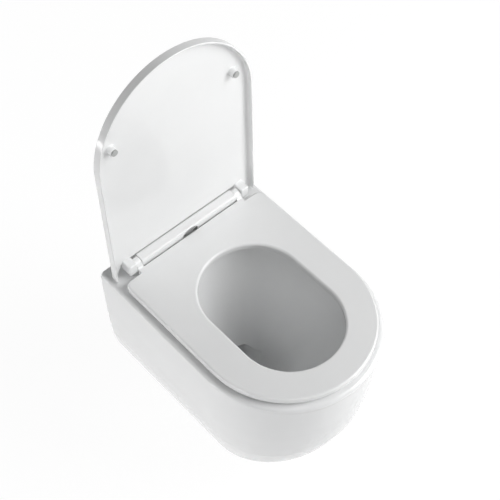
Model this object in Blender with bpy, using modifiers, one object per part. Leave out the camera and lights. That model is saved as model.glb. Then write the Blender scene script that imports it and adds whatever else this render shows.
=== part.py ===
"""A wall-hung rimless toilet with a quick-release soft-close seat, in metres.

X runs across, +Y runs into the wall and +Z is up. The origin is on the wall's
face, midway between the two wall studs that carry the pan. The seat lies down
on the pan, and the lid stands open against its stop.
"""

import math

import bmesh
import bpy
from mathutils import Matrix, Vector

MM = 0.001

# Gaps between pieces, and how far a cut runs past what it cuts
GAP = 0.3 * MM
END_GAP = 0.5 * MM
OVERRUN = 3 * MM
WELD = 0.01 * MM

# The one-piece casting is drawn as blocks this far apart, so that their collision
# pieces leave the bowl, trap and back open, and where its skirt and bowl divide
SEAM = 0.1 * MM
SKIRT_DEPTH = 250 * MM
UPPER_BOWL_DEPTH = 130 * MM

# Pan, measured down from the deck and forward from the wall
PAN_WIDTH = 360 * MM
PAN_PROJECTION = 492 * MM
PAN_HEIGHT = 340 * MM
DECK_Z = 85 * MM
ARC_Y = -308 * MM
PAN_WALL = 11 * MM
DECK_THICKNESS = 14 * MM
FLOOR_THICKNESS = 12 * MM
DECK_EDGE_RADIUS = 8 * MM
# Depth as a share of the pan's height, side inset as a share of half its width
# and front inset as a share of its projection
BODY_SHARES = (
    (0.147, 0.003, 0.010),
    (0.294, 0.008, 0.020),
    (0.441, 0.017, 0.033),
    (0.588, 0.033, 0.051),
    (0.735, 0.083, 0.085),
    (0.800, 0.128, 0.113),
    (0.853, 0.183, 0.152),
    (0.905, 0.255, 0.190),
    (0.941, 0.322, 0.228),
    (0.978, 0.415, 0.280),
    (1.000, 0.500, 0.315),
)

# Bowl
BOWL_WIDTH = 254 * MM
BOWL_REAR_Y = -106 * MM
BOWL_FRONT_Y = -449 * MM
BOWL_DEPTH = 300 * MM
BOWL_WALL = 10 * MM
BOWL_EDGE_RADIUS = 8 * MM
BOWL_STRAIGHT_SHARE = 0.30
# Depth share, width share, and the rear and front ends as shares of the
# bowl's length from its rear
BOWL_SHARES = (
    (0.100, 0.990, 0.003, 0.991),
    (0.267, 0.906, 0.026, 0.945),
    (0.433, 0.756, 0.076, 0.860),
    (0.600, 0.583, 0.135, 0.730),
    (0.733, 0.457, 0.175, 0.600),
    (0.867, 0.378, 0.210, 0.515),
    (0.967, 0.300, 0.240, 0.455),
    (1.000, 0.200, 0.275, 0.410),
)

# Trap and outlet
TRAP_BORE = 50 * MM
TRAP_WALL = 9 * MM
TRAP_ENTRY_Y = -225 * MM
TRAP_TURN_Y = -176 * MM
TRAP_LOW_DEPTH = 272 * MM
# How far the rise lies from the turn to the weir, along Y and up
TRAP_RISE_SHARES = (0.514, 0.370)
WEIR_Y = -102 * MM
WEIR_DEPTH = 180 * MM
OUTLET_DROP = 100 * MM
SPIGOT_OUTER = 102 * MM
SPIGOT_BORE = 84 * MM
SPIGOT_LENGTH = 66 * MM
SPIGOT_SETBACK = 4 * MM
SPIGOT_END_WALL = 8 * MM

# Flush inlet
INLET_RISE = 35 * MM
INLET_BORE = 55 * MM
INLET_BOSS = 75 * MM
INLET_BORE_DEPTH = 45 * MM
INLET_END_WALL = 8 * MM
FLUSH_SLOT_WIDTH = 56 * MM
FLUSH_SLOT_HEIGHT = 15 * MM
FLUSH_SLOT_DEPTH = 23.5 * MM
FLUSH_DUCT_WALL = 8 * MM
DISTRIBUTOR_LENGTH = 28 * MM
DISTRIBUTOR_SETBACK = 2 * MM
DISTRIBUTOR_WALL = 1.6 * MM
DISTRIBUTOR_VANE = 1.5 * MM

# Wall fixing
WEB_THICKNESS = 14 * MM
WEB_DROP = 45 * MM
STUD_SPACING = 180 * MM
STUD_HOLE = 20 * MM
STUD = 12 * MM
SLEEVE_WALL = 3 * MM
SLEEVE_FLANGE = 30 * MM
SLEEVE_FLANGE_THICKNESS = 3 * MM
WASHER_OUTER = 34 * MM
WASHER_THICKNESS = 2.5 * MM
NUT_ACROSS = 19 * MM
NUT_HEIGHT = 10 * MM
SEAL_SETBACK = 2 * MM
SEAL_LENGTH = 22 * MM
SEAL_WALL = 5 * MM

# Hinge axis, and the hinge bar round it
AXIS_Y = -40 * MM
AXIS_RISE = 22 * MM
BAR_LENGTH = 230 * MM
BAR_DEPTH = 21 * MM
BAR_TOP = 32.5 * MM
BAR_BOTTOM = 4.5 * MM
BAR_EDGE_RADIUS = 7 * MM
BAR_WALL = 2.2 * MM
HINGE_SPACING = 155 * MM
HINGE_HOLE = 14 * MM
POST_SPACING = 119 * MM

# Seat, measured up from the deck
SEAT_LIFT = 3.5 * MM
SEAT_THICKNESS = 15 * MM
SEAT_INSET = 12 * MM
SEAT_EDGE_RADIUS = 4 * MM
SEAT_CORNER_RADIUS = 15 * MM
BAR_SEAT_GAP = 2 * MM
KNUCKLE_SEAT_GAP = 5.5 * MM
OPENING_WIDTH = 203 * MM
OPENING_REAR_Y = -125 * MM
OPENING_FRONT_Y = -424 * MM
OPENING_STRAIGHT_SHARE = 0.318

# Seat lugs and lid knuckles along the axis
LUG_WIDTH = 12.5 * MM
KNUCKLE_WIDTH = 17.5 * MM
KNUCKLE_FRONT = 15 * MM
KNUCKLE_BACK = 13 * MM
KNUCKLE_DROP = 14 * MM
KNUCKLE_EDGE_RADIUS = 4 * MM
KNUCKLE_END_WALL = 2.5 * MM

# Lid, measured as it lies shut
LID_OVERHANG = 2 * MM
LID_FRONT_OVERHANG = 3.5 * MM
LID_DEPTH = 17 * MM
LID_RIM = 3.5 * MM
LID_PANEL = 5 * MM
LID_SEAT_GAP = 1.5 * MM
LID_EDGE_RADIUS = 3.5 * MM
LID_INNER_RADIUS = 6 * MM
LID_OPEN_ANGLE = math.radians(91)
WING_REACH = 18 * MM
WING_TIP_WIDTH = 9 * MM
WING_WAIST_WIDTH = 13 * MM
WING_WAIST_REACH = 6 * MM
WING_TIP_RADIUS = 4 * MM

# Lid and seat bumpers
LID_BUMPER_INSET = 34.5 * MM
LID_BUMPER_SETBACK = 127 * MM
LID_COLLAR = 17 * MM
LID_COLLAR_HEIGHT = 5 * MM
LID_PAD = 14 * MM
PAD_STEM = 6 * MM
PAD_STEM_LENGTH = 5 * MM
SEAT_PAD = 14 * MM
REAR_PAD_INSET = 33 * MM
REAR_PAD_REACH = 47.5 * MM
FRONT_PAD_INSET = 44 * MM
FRONT_PAD_SETBACK = 80 * MM

# Dampers, shafts and bushes
DAMPER = 15 * MM
DAMPER_LENGTH = 40 * MM
DAMPER_NOSE = 10 * MM
SHAFT = 6 * MM
SHAFT_KEY = 4.4 * MM
SHAFT_START = 12 * MM
LUG_BORE = 10 * MM

# Posts, plates and bolts that hold the bar
PLATE_THICKNESS = 3 * MM
PLATE_DEPTH = 20.4 * MM
PLATE_END = 12 * MM
POST = 10 * MM
POST_NECK = 7 * MM
POST_HEIGHT = 20.5 * MM
RIVET = 7 * MM
ADJUST = 3 * MM
BOLT = 6 * MM
BOLT_HEAD = 9.8 * MM
BOLT_HEAD_HEIGHT = 3 * MM
BOLT_SOCKET = 5 * MM
SOCKET_DEPTH = 1.5 * MM
BOLT_LENGTH = 44 * MM
PLUG_LENGTH = 30 * MM
PLUG_NUT_HEIGHT = 8 * MM
PLUG_NUT_ACROSS = 12 * MM

# Release button and latches
RECESS_WIDTH = 37 * MM
RECESS_RISE = 11.5 * MM
RECESS_BASE = 16 * MM
BUTTON_GAP = 0.6 * MM
BUTTON_INSET = 1.5 * MM
BUTTON_THICKNESS = 3 * MM
BUTTON_RIBS = 13
RIB_PITCH = 2.4 * MM
RIB_WIDTH = 1.1 * MM
RIB_HEIGHT = 0.7 * MM
NOSE_WIDTH = 18 * MM
NOSE_HEIGHT = 5 * MM
BUTTON_TRAVEL = 3.5 * MM
LATCH_BASE = 11.8 * MM
LATCH_THICKNESS = 2.4 * MM
LATCH_DEPTH = 15 * MM
LATCH_END = 5 * MM
LATCH_INNER_X = 1.2 * MM
LATCH_TONGUE_FRONT = 1.5 * MM
LATCH_SHOULDER_X = 22 * MM
LATCH_WINDOW_GAP = 0.5 * MM
BASE_THICKNESS = 2 * MM
BASE_LENGTH = 141 * MM
RAIL_WIDTH = 3 * MM
RAIL_PLACES = (31 * MM, 45 * MM)
SPRING = 6 * MM
SPRING_WIRE = 0.8 * MM
SPRING_TURNS = 5
SPRING_RISE = 22.5 * MM

# How finely round shapes are faceted
ARC_STEPS = 36
BOWL_STEPS = 12
EDGE_STEPS = 3
ROUND_SIDES = 32
SMALL_SIDES = 20
COIL_STEPS = 8
TUBE_SIDES_RESOLUTION = 2
TRAP_STEPS = 5
HEXAGON = 6
QUARTER_TURN = math.pi / 2
TURNS = {"Z": (0, 0, 0), "-Y": (QUARTER_TURN, 0, 0), "X": (0, QUARTER_TURN, 0),
         "-X": (0, -QUARTER_TURN, 0)}
SMOOTH_ANGLE = math.radians(35)
BEVEL_ANGLE = math.radians(40)

# Colours, roughness and metallic value of each material
CERAMIC = ("glazed_ceramic", (0.86, 0.87, 0.87), 0.08, 0.0)
DUROPLAST = ("white_duroplast", (0.85, 0.86, 0.86), 0.15, 0.0)
WHITE_PLASTIC = ("white_plastic", (0.80, 0.81, 0.81), 0.30, 0.0)
GREY_PLASTIC = ("grey_plastic", (0.36, 0.37, 0.37), 0.35, 0.0)
DAMPER_PLASTIC = ("damper_plastic", (0.16, 0.17, 0.18), 0.40, 0.0)
GREY_RUBBER = ("grey_rubber", (0.40, 0.40, 0.40), 0.60, 0.0)
BLACK_RUBBER = ("black_rubber", (0.04, 0.04, 0.04), 0.70, 0.0)
STEEL = ("stainless_steel", (0.56, 0.56, 0.55), 0.30, 1.0)
BRASS = ("brass", (0.60, 0.45, 0.20), 0.35, 1.0)

# Places worked out from the sizes above
PAN_HALF = PAN_WIDTH / 2
ACROSS = (-PAN_HALF - OVERRUN, PAN_HALF + OVERRUN)
ALONG = (-PAN_PROJECTION - OVERRUN, OVERRUN)
UPRIGHT = (DECK_Z - PAN_HEIGHT - OVERRUN, DECK_Z + OVERRUN)
DECK_BOTTOM = DECK_Z - DECK_THICKNESS
WEB_FRONT = -WEB_THICKNESS - SEAM
SKIRT_BOTTOM = DECK_Z - SKIRT_DEPTH
UPPER_BOWL_BOTTOM = DECK_Z - UPPER_BOWL_DEPTH
SEAT_WIDTH = PAN_WIDTH - 2 * SEAT_INSET
SEAT_FRONT_Y = SEAT_INSET - PAN_PROJECTION
LID_WIDTH = SEAT_WIDTH + 2 * LID_OVERHANG
LID_FRONT_Y = SEAT_FRONT_Y - LID_FRONT_OVERHANG
AXIS = Vector((0, AXIS_Y, DECK_Z + AXIS_RISE))
SEAT_BOTTOM = DECK_Z + SEAT_LIFT
SEAT_TOP = SEAT_BOTTOM + SEAT_THICKNESS
LID_BOTTOM = SEAT_TOP + LID_SEAT_GAP
LID_TOP = LID_BOTTOM + LID_DEPTH
LID_FACE = LID_TOP - LID_PANEL
BAR_HALF = BAR_LENGTH / 2
BAR_FRONT = AXIS_Y - BAR_DEPTH / 2
BAR_BACK = AXIS_Y + BAR_DEPTH / 2
LUG_START = BAR_HALF + END_GAP
LUG_END = LUG_START + LUG_WIDTH
KNUCKLE_START = LUG_END + END_GAP
KNUCKLE_END = KNUCKLE_START + KNUCKLE_WIDTH
HINGE_X = HINGE_SPACING / 2
POST_X = POST_SPACING / 2
SEAT_REAR_Y = BAR_FRONT - BAR_SEAT_GAP
SEAT_CORNER_Y = AXIS_Y - KNUCKLE_FRONT - KNUCKLE_SEAT_GAP
LUG_RADIUS = BAR_DEPTH / 2
LUG_BOTTOM = AXIS.z - LUG_RADIUS
SHAFT_BORE_DEPTH = KNUCKLE_WIDTH - KNUCKLE_END_WALL
LID_BUMPER_X = SEAT_WIDTH / 2 - LID_BUMPER_INSET
LID_BUMPER_Y = SEAT_FRONT_Y + LID_BUMPER_SETBACK
SEAT_PAD_PLACES = ((SEAT_WIDTH / 2 - REAR_PAD_INSET, SEAT_REAR_Y - REAR_PAD_REACH),
                   (SEAT_WIDTH / 2 - FRONT_PAD_INSET, SEAT_FRONT_Y + FRONT_PAD_SETBACK))
DAMPER_END = BAR_HALF - BAR_WALL - GAP
BUTTON_FRONT = BAR_FRONT + BUTTON_INSET
BUTTON_BACK = BUTTON_FRONT + BUTTON_THICKNESS
OUTLET_Z = -OUTLET_DROP
INLET_Z = INLET_RISE
SLOT_Z = DECK_Z - FLUSH_SLOT_DEPTH
SPIGOT_START = -SPIGOT_SETBACK - SPIGOT_LENGTH
PLATE_TOP = DECK_Z + GAP + PLATE_THICKNESS


def new_collection(name):
    """Add a collection to the scene."""
    group = bpy.data.collections.new(name)
    bpy.context.scene.collection.children.link(group)
    return group


for old in list(bpy.data.objects):
    bpy.data.objects.remove(old)
PARTS = new_collection("Wall hung toilet")
CUTTERS = new_collection("Cutters")


def get_material(finish):
    """Return the Principled material of a finish, made once."""
    name, colour, roughness, metallic = finish
    found = bpy.data.materials.get(name)
    if found:
        return found
    made = bpy.data.materials.new(name)
    made.use_nodes = True
    shader = made.node_tree.nodes["Principled BSDF"]
    shader.inputs["Base Color"].default_value = (*colour, 1)
    shader.inputs["Roughness"].default_value = roughness
    shader.inputs["Metallic"].default_value = metallic
    return made


def make_object(name, mesh):
    """Wrap a mesh in an object, smooth but for its sharp edges."""
    mesh.name = name
    piece = bpy.data.objects.new(name, mesh)
    bpy.context.scene.collection.objects.link(piece)
    mesh.shade_smooth()
    mesh.set_sharp_from_angle(angle=SMOOTH_ANGLE)
    return piece


def file_in(piece, group):
    """Move an object from the scene's own collection to a group."""
    bpy.context.scene.collection.objects.unlink(piece)
    group.objects.link(piece)
    return piece


def finish_part(piece, finish):
    """Give a part its material and file it with the parts."""
    piece.data.materials.clear()
    piece.data.materials.append(get_material(finish))
    return file_in(piece, PARTS)


def from_bmesh(name, shape):
    """Turn a closed bmesh into an object with its faces outward."""
    bmesh.ops.recalc_face_normals(shape, faces=shape.faces)
    mesh = bpy.data.meshes.new(name)
    shape.to_mesh(mesh)
    shape.free()
    return make_object(name, mesh)


def box(name, low, high):
    """A box between two corners."""
    shape = bmesh.new()
    bmesh.ops.create_cube(shape, size=1)
    low, high = Vector(low), Vector(high)
    bmesh.ops.scale(shape, vec=high - low, verts=shape.verts)
    bmesh.ops.translate(shape, vec=(high + low) / 2, verts=shape.verts)
    return from_bmesh(name, shape)


def rod(name, start, end, diameter, sides):
    """A round bar between two points."""
    shape = bmesh.new()
    length = (Vector(end) - Vector(start)).length
    bmesh.ops.create_cone(shape, cap_ends=True, segments=sides, radius1=diameter / 2,
                          radius2=diameter / 2, depth=length)
    turn = Vector((0, 0, 1)).rotation_difference(Vector(end) - Vector(start))
    bmesh.ops.rotate(shape, matrix=turn.to_matrix(), verts=shape.verts)
    middle = (Vector(start) + Vector(end)) / 2
    bmesh.ops.translate(shape, vec=middle, verts=shape.verts)
    return from_bmesh(name, shape)


def rod_x(name, x_start, x_end, y, z, diameter, sides=SMALL_SIDES):
    """A round bar along X."""
    return rod(name, (x_start, y, z), (x_end, y, z), diameter, sides)


def rod_y(name, x, z, y_start, y_end, diameter, sides=SMALL_SIDES):
    """A round bar along Y."""
    return rod(name, (x, y_start, z), (x, y_end, z), diameter, sides)


def rod_z(name, x, y, z_start, z_end, diameter, sides=SMALL_SIDES):
    """A round bar along Z."""
    return rod(name, (x, y, z_start), (x, y, z_end), diameter, sides)


def turned(name, profile, place, toward="Z", hollow=False, sides=SMALL_SIDES):
    """Spin a profile of radii and heights, listed top to bottom on its outer side."""
    shape = bmesh.new()
    points = [shape.verts.new((radius, 0, height)) for radius, height in profile]
    for upper, lower in zip(points, points[1:]):
        shape.edges.new((upper, lower))
    if hollow:
        shape.edges.new((points[-1], points[0]))
    mesh = bpy.data.meshes.new(name)
    shape.to_mesh(mesh)
    shape.free()
    piece = bpy.data.objects.new(name, mesh)
    bpy.context.scene.collection.objects.link(piece)
    piece.location = place
    piece.rotation_euler = TURNS[toward]
    screw = piece.modifiers.new("turned", "SCREW")
    screw.steps = sides
    screw.render_steps = sides
    screw.use_merge_vertices = True
    screw.merge_threshold = WELD
    return piece


def sleeve_profile(outer, inner, low, high):
    """The section of a plain ring, as diameters and heights."""
    return [(outer / 2, high), (outer / 2, low), (inner / 2, low), (inner / 2, high)]


def plate(name, outline, low, high, rounding=0):
    """A flat outline in plan, extruded between two heights, with its rim rounded."""
    curve = bpy.data.curves.new(name, "CURVE")
    curve.dimensions = "2D"
    curve.fill_mode = "BOTH"
    curve.extrude = (high - low) / 2 - rounding
    curve.bevel_depth = rounding
    curve.offset = -rounding
    curve.bevel_resolution = EDGE_STEPS - 1
    spline = curve.splines.new("POLY")
    spline.points.add(len(outline) - 1)
    for point, (x, y) in zip(spline.points, outline):
        point.co = (x, y, 0, 1)
    spline.use_cyclic_u = True
    return curve_to_mesh(name, curve, Matrix.Translation((0, 0, (low + high) / 2)))


def curve_to_mesh(name, curve, place):
    """Turn a curve into a welded mesh object at its place."""
    holder = bpy.data.objects.new(name + "_curve", curve)
    bpy.context.scene.collection.objects.link(holder)
    holder.matrix_world = place
    bpy.context.view_layer.update()
    graph = bpy.context.evaluated_depsgraph_get()
    mesh = bpy.data.meshes.new_from_object(holder.evaluated_get(graph))
    mesh.transform(place)
    bpy.data.objects.remove(holder)
    shape = bmesh.new()
    shape.from_mesh(mesh)
    bmesh.ops.remove_doubles(shape, verts=shape.verts, dist=WELD)
    bmesh.ops.recalc_face_normals(shape, faces=shape.faces)
    shape.to_mesh(mesh)
    shape.free()
    return make_object(name, mesh)


def loft(name, rings):
    """A closed skin over rings of equal point counts, capped at both ends."""
    shape = bmesh.new()
    rows = [[shape.verts.new(point) for point in ring] for ring in rings]
    count = len(rows[0])
    for upper, lower in zip(rows, rows[1:]):
        for i in range(count):
            j = (i + 1) % count
            shape.faces.new((upper[i], upper[j], lower[j], lower[i]))
    shape.faces.new(rows[0])
    shape.faces.new(rows[-1][::-1])
    return from_bmesh(name, shape)


def combine(piece, operation, tools):
    """Cut or join a piece with tools that stay as live cutters."""
    for tool in tools:
        change = piece.modifiers.new(tool.name, "BOOLEAN")
        change.operation = operation
        change.object = tool
        tool.hide_render = True
        tool.display_type = "WIRE"
        file_in(tool, CUTTERS)
    return piece


def cut(piece, *tools):
    """Take the tools away from a piece."""
    return combine(piece, "DIFFERENCE", tools)


def join(piece, *tools):
    """Add the tools to a piece."""
    return combine(piece, "UNION", tools)


def keep(piece, *tools):
    """Keep what a piece shares with the tools."""
    return combine(piece, "INTERSECT", tools)


def round_edges(piece, radius, steps=EDGE_STEPS):
    """Round the sharp edges of a piece."""
    bevel = piece.modifiers.new("rounded", "BEVEL")
    bevel.width = radius
    bevel.segments = steps
    bevel.limit_method = "ANGLE"
    bevel.angle_limit = BEVEL_ANGLE
    return piece


def ride(piece, pivot):
    """Hang a piece and all its cutters on the pivot of its joint."""
    for change in piece.modifiers:
        if change.type == "BOOLEAN":
            ride(change.object, pivot)
    piece.parent = pivot
    piece.matrix_parent_inverse = Matrix.Translation(-pivot.location)
    return piece


def new_pivot(name, place):
    """An empty on a joint's axis."""
    pivot = bpy.data.objects.new(name, None)
    pivot.location = place
    PARTS.objects.link(pivot)
    return pivot


def d_ring(half_width, front_y, rear_y, arc_y=ARC_Y, steps=ARC_STEPS):
    """A D in plan from its rear right corner round the front to the rear left."""
    ring = [(half_width, rear_y)]
    for i in range(steps + 1):
        turn = math.pi * i / steps
        ring.append((half_width * math.cos(turn),
                     arc_y + (front_y - arc_y) * math.sin(turn)))
    ring.append((-half_width, rear_y))
    return ring


def oval_ring(half_width, rear_y, front_y, straight_share, steps=BOWL_STEPS):
    """An oval in plan with straight sides and half-ellipses at both ends."""
    length = rear_y - front_y
    end = length * (1 - straight_share) / 2
    ring = []
    for middle, way in ((rear_y - end, 1), (front_y + end, -1)):
        for i in range(2 * steps + 1):
            turn = math.pi * i / (2 * steps)
            ring.append((way * half_width * math.cos(turn),
                         middle + way * end * math.sin(turn)))
    return ring


def at_height(ring, z):
    """Lift a plan ring to a height."""
    return [Vector((x, y, z)) for x, y in ring]


def corner_arc(centre, radius, start, end, steps=EDGE_STEPS):
    """Points of a rounded corner between two angles."""
    return [(centre[0] + radius * math.cos(start + (end - start) * i / steps),
             centre[1] + radius * math.sin(start + (end - start) * i / steps))
            for i in range(steps + 1)]


def body_rings(top_rows, inset, height, rear_y):
    """Rings of the pan's body down to a height, inset all round."""
    rows = top_rows + [(depth * height, side * PAN_HALF, front * PAN_PROJECTION)
                       for depth, side, front in BODY_SHARES]
    rings = []
    for depth, side, front in rows:
        ring = d_ring(PAN_HALF - side - inset, front + inset - PAN_PROJECTION, rear_y)
        rings.append(at_height(ring, DECK_Z - depth))
    return rings


def deck_edge_rows():
    """Depths and insets that round the deck's outer edge."""
    rows = []
    for i in range(EDGE_STEPS + 1):
        turn = QUARTER_TURN * i / EDGE_STEPS
        inset = DECK_EDGE_RADIUS * (1 - math.sin(turn))
        rows.append((DECK_EDGE_RADIUS * (1 - math.cos(turn)), inset, inset))
    return rows


def bowl_ring(width_share, rear_share, front_share, grow, z):
    """One ring of the bowl, grown outward by a wall."""
    length = BOWL_REAR_Y - BOWL_FRONT_Y
    ring = oval_ring(width_share * BOWL_WIDTH / 2 + grow,
                     BOWL_REAR_Y - rear_share * length + grow,
                     BOWL_REAR_Y - front_share * length - grow,
                     BOWL_STRAIGHT_SHARE)
    return at_height(ring, z)


def bowl_rings(wall):
    """Rings of the bowl's hollow, or of its outside when a wall is given."""
    rings = []
    if wall:
        rings.append(bowl_ring(1, 0, 1, wall, DECK_Z - DECK_THICKNESS / 2))
    else:
        flare = BOWL_EDGE_RADIUS
        rings.append(bowl_ring(1, 0, 1, flare, DECK_Z + OVERRUN))
        for i in range(EDGE_STEPS + 1):
            turn = QUARTER_TURN * i / EDGE_STEPS
            rings.append(bowl_ring(1, 0, 1, flare * (1 - math.sin(turn)),
                                   DECK_Z - flare * (1 - math.cos(turn))))
    for depth, width, rear, front in BOWL_SHARES:
        rings.append(bowl_ring(width, rear, front, wall,
                               DECK_Z - depth * BOWL_DEPTH - wall * depth))
    return rings


def trap_tube(name, diameter):
    """The trapway as a bent tube through the sump, over the weir and out."""
    curve = bpy.data.curves.new(name, "CURVE")
    curve.dimensions = "3D"
    curve.bevel_depth = diameter / 2
    curve.bevel_resolution = TUBE_SIDES_RESOLUTION
    curve.use_fill_caps = True
    curve.resolution_u = TRAP_STEPS
    spigot_middle = SPIGOT_START + SPIGOT_LENGTH / 2
    along, up = TRAP_RISE_SHARES
    rise_y = TRAP_TURN_Y + along * (WEIR_Y - TRAP_TURN_Y)
    rise_depth = TRAP_LOW_DEPTH + up * (WEIR_DEPTH - TRAP_LOW_DEPTH)
    places = ((TRAP_ENTRY_Y, DECK_Z - TRAP_LOW_DEPTH), (TRAP_TURN_Y, DECK_Z - TRAP_LOW_DEPTH),
              (rise_y, DECK_Z - rise_depth), (WEIR_Y, DECK_Z - WEIR_DEPTH),
              (spigot_middle, OUTLET_Z))
    spline = curve.splines.new("BEZIER")
    spline.bezier_points.add(len(places) - 1)
    for point, (y, z) in zip(spline.bezier_points, places):
        point.co = (0, y, z)
        point.handle_left_type = "AUTO"
        point.handle_right_type = "AUTO"
    return curve_to_mesh(name, curve, Matrix.Identity(4))


def region(name, x=ACROSS, y=ALONG, z=UPRIGHT):
    """A box between pairs of bounds, past the pan's faces where none are given."""
    return box(name, (x[0], y[0], z[0]), (x[1], y[1], z[1]))


def pan_body(name):
    """The pan's outside as a solid body."""
    return loft(name, body_rings(deck_edge_rows(), 0, PAN_HEIGHT, 0))


def cavity(name):
    """The hollow inside the skirt, open to the wall."""
    rings = body_rings([(DECK_THICKNESS, 0, 0)], PAN_WALL, PAN_HEIGHT - FLOOR_THICKNESS, OVERRUN)
    return loft(name, rings)


def inlet_bore(name):
    """The bore that takes the flush pipe's seal."""
    return rod_y(name, 0, INLET_Z, OVERRUN, -INLET_BORE_DEPTH, INLET_BORE, sides=ROUND_SIDES)


def flush_slot(name):
    """The slot that leads the flush through the bowl's rear wall."""
    half, rise = FLUSH_SLOT_WIDTH / 2, FLUSH_SLOT_HEIGHT / 2
    return box(name, (-half, BOWL_REAR_Y - 2 * OVERRUN, SLOT_Z - rise),
               (half, OVERRUN - INLET_BORE_DEPTH, SLOT_Z + rise))


def make_back():
    """The casting's wall web, with the holes for the studs and the flush pipe."""
    back = pan_body("pan_back")
    keep(back, region("back_region", y=(-WEB_THICKNESS, OVERRUN), z=(-WEB_DROP, UPRIGHT[1])))
    cut(back, inlet_bore("back_inlet_bore"))
    for side, x in (("left", -STUD_SPACING / 2), ("right", STUD_SPACING / 2)):
        cut(back, rod_y("stud_hole_" + side, x, 0, OVERRUN, -WEB_THICKNESS - OVERRUN, STUD_HOLE))
    finish_part(back, CERAMIC)


def make_deck():
    """The casting's flat deck round the bowl, with the hinge holes."""
    deck = pan_body("pan_deck")
    keep(deck, region("deck_region", y=(ALONG[0], WEB_FRONT), z=(DECK_BOTTOM, UPRIGHT[1])))
    cut(deck, loft("deck_bowl_hollow", bowl_rings(0)))
    for side, x in (("left", -HINGE_X), ("right", HINGE_X)):
        cut(deck, rod_z("hinge_hole_" + side, x, AXIS_Y, DECK_BOTTOM - OVERRUN,
                        DECK_Z + OVERRUN, HINGE_HOLE))
    finish_part(deck, CERAMIC)


def make_skirt():
    """The casting's skirt in two halves, and the base that closes it below."""
    for side, across in (("left", (ACROSS[0], -SEAM / 2)), ("right", (SEAM / 2, ACROSS[1]))):
        skirt = pan_body("pan_skirt_" + side)
        keep(skirt, region("skirt_region_" + side, x=across, z=(SKIRT_BOTTOM, DECK_BOTTOM - SEAM)))
        cut(skirt, cavity("skirt_cavity_" + side),
            region("skirt_web_room_" + side, y=(WEB_FRONT, OVERRUN),
                   z=(-WEB_DROP - SEAM, UPRIGHT[1])))
        finish_part(skirt, CERAMIC)
    base = pan_body("pan_base")
    keep(base, region("base_region", z=(UPRIGHT[0], SKIRT_BOTTOM - SEAM)))
    cut(base, cavity("base_cavity"))
    finish_part(base, CERAMIC)


def make_duct():
    """The casting's inlet boss and the duct that leads to the bowl's rear wall."""
    boss = rod_y("pan_duct", 0, INLET_Z, WEB_FRONT, -INLET_BORE_DEPTH - INLET_END_WALL,
                 INLET_BOSS, sides=ROUND_SIDES)
    half = FLUSH_SLOT_WIDTH / 2 + FLUSH_DUCT_WALL
    rise = FLUSH_SLOT_HEIGHT / 2 + FLUSH_DUCT_WALL
    join(boss, box("duct_box", (-half, BOWL_REAR_Y, SLOT_Z - rise),
                   (half, -INLET_BORE_DEPTH, SLOT_Z + rise)))
    keep(boss, region("duct_region", z=(UPRIGHT[0], DECK_BOTTOM - SEAM)))
    cut(boss, loft("duct_bowl_room", bowl_rings(BOWL_WALL + SEAM)),
        inlet_bore("duct_inlet_bore"), flush_slot("duct_slot"))
    finish_part(boss, CERAMIC)


def make_bowl():
    """The casting's bowl below the deck, its upper wall and its lower cup."""
    upper = loft("pan_bowl_upper", bowl_rings(BOWL_WALL))
    keep(upper, region("upper_bowl_region", z=(UPPER_BOWL_BOTTOM, DECK_BOTTOM - SEAM)))
    cut(upper, loft("upper_bowl_hollow", bowl_rings(0)), flush_slot("upper_bowl_slot"))
    finish_part(upper, CERAMIC)
    lower = loft("pan_bowl_lower", bowl_rings(BOWL_WALL))
    keep(lower, region("lower_bowl_region", z=(UPRIGHT[0], UPPER_BOWL_BOTTOM - SEAM)))
    cut(lower, loft("lower_bowl_hollow", bowl_rings(0)), trap_tube("lower_bowl_trapway", TRAP_BORE))
    finish_part(lower, CERAMIC)


def make_trap():
    """The casting's trapway behind the bowl, and the spigot it ends in."""
    trap = trap_tube("pan_trap", TRAP_BORE + 2 * TRAP_WALL)
    cut(trap, loft("trap_bowl_room", bowl_rings(BOWL_WALL + GAP)),
        region("trap_spigot_room", y=(SPIGOT_START - SEAM, OVERRUN)),
        trap_tube("trapway", TRAP_BORE))
    finish_part(trap, CERAMIC)
    spigot = rod_y("pan_spigot", 0, OUTLET_Z, SPIGOT_START, -SPIGOT_SETBACK, SPIGOT_OUTER,
                   sides=ROUND_SIDES)
    cut(spigot, rod_y("outlet_bore", 0, OUTLET_Z, SPIGOT_START + SPIGOT_END_WALL, OVERRUN,
                      SPIGOT_BORE, sides=ROUND_SIDES),
        trap_tube("spigot_trapway", TRAP_BORE))
    finish_part(spigot, CERAMIC)


def make_distributor():
    """The slotted insert that splits the flush to both sides of the bowl."""
    half = FLUSH_SLOT_WIDTH / 2 - GAP
    rise = FLUSH_SLOT_HEIGHT / 2 - GAP
    wall = DISTRIBUTOR_WALL
    vane = DISTRIBUTOR_VANE
    length = DISTRIBUTOR_LENGTH
    front = BOWL_REAR_Y + DISTRIBUTOR_SETBACK
    low, high = SLOT_Z - rise, SLOT_Z + rise
    body = box("flush_distributor", (-half, front, low), (half, front + length, high))
    for side, start, end in (("left", -half + wall, -vane / 2), ("right", vane / 2, half - wall)):
        cut(body, box("distributor_" + side, (start, front - OVERRUN, low + wall),
                      (end, front + length + OVERRUN, high - wall)))
    finish_part(body, WHITE_PLASTIC)


def make_seal():
    """The rubber seal that takes the flush pipe in the inlet."""
    outer = INLET_BORE - 2 * GAP
    section = sleeve_profile(outer, outer - 2 * SEAL_WALL, 0, SEAL_LENGTH)
    seal = turned("inlet_seal", section, (0, -SEAL_SETBACK, INLET_Z), "-Y", hollow=True,
                  sides=ROUND_SIDES)
    finish_part(seal, BLACK_RUBBER)


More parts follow.
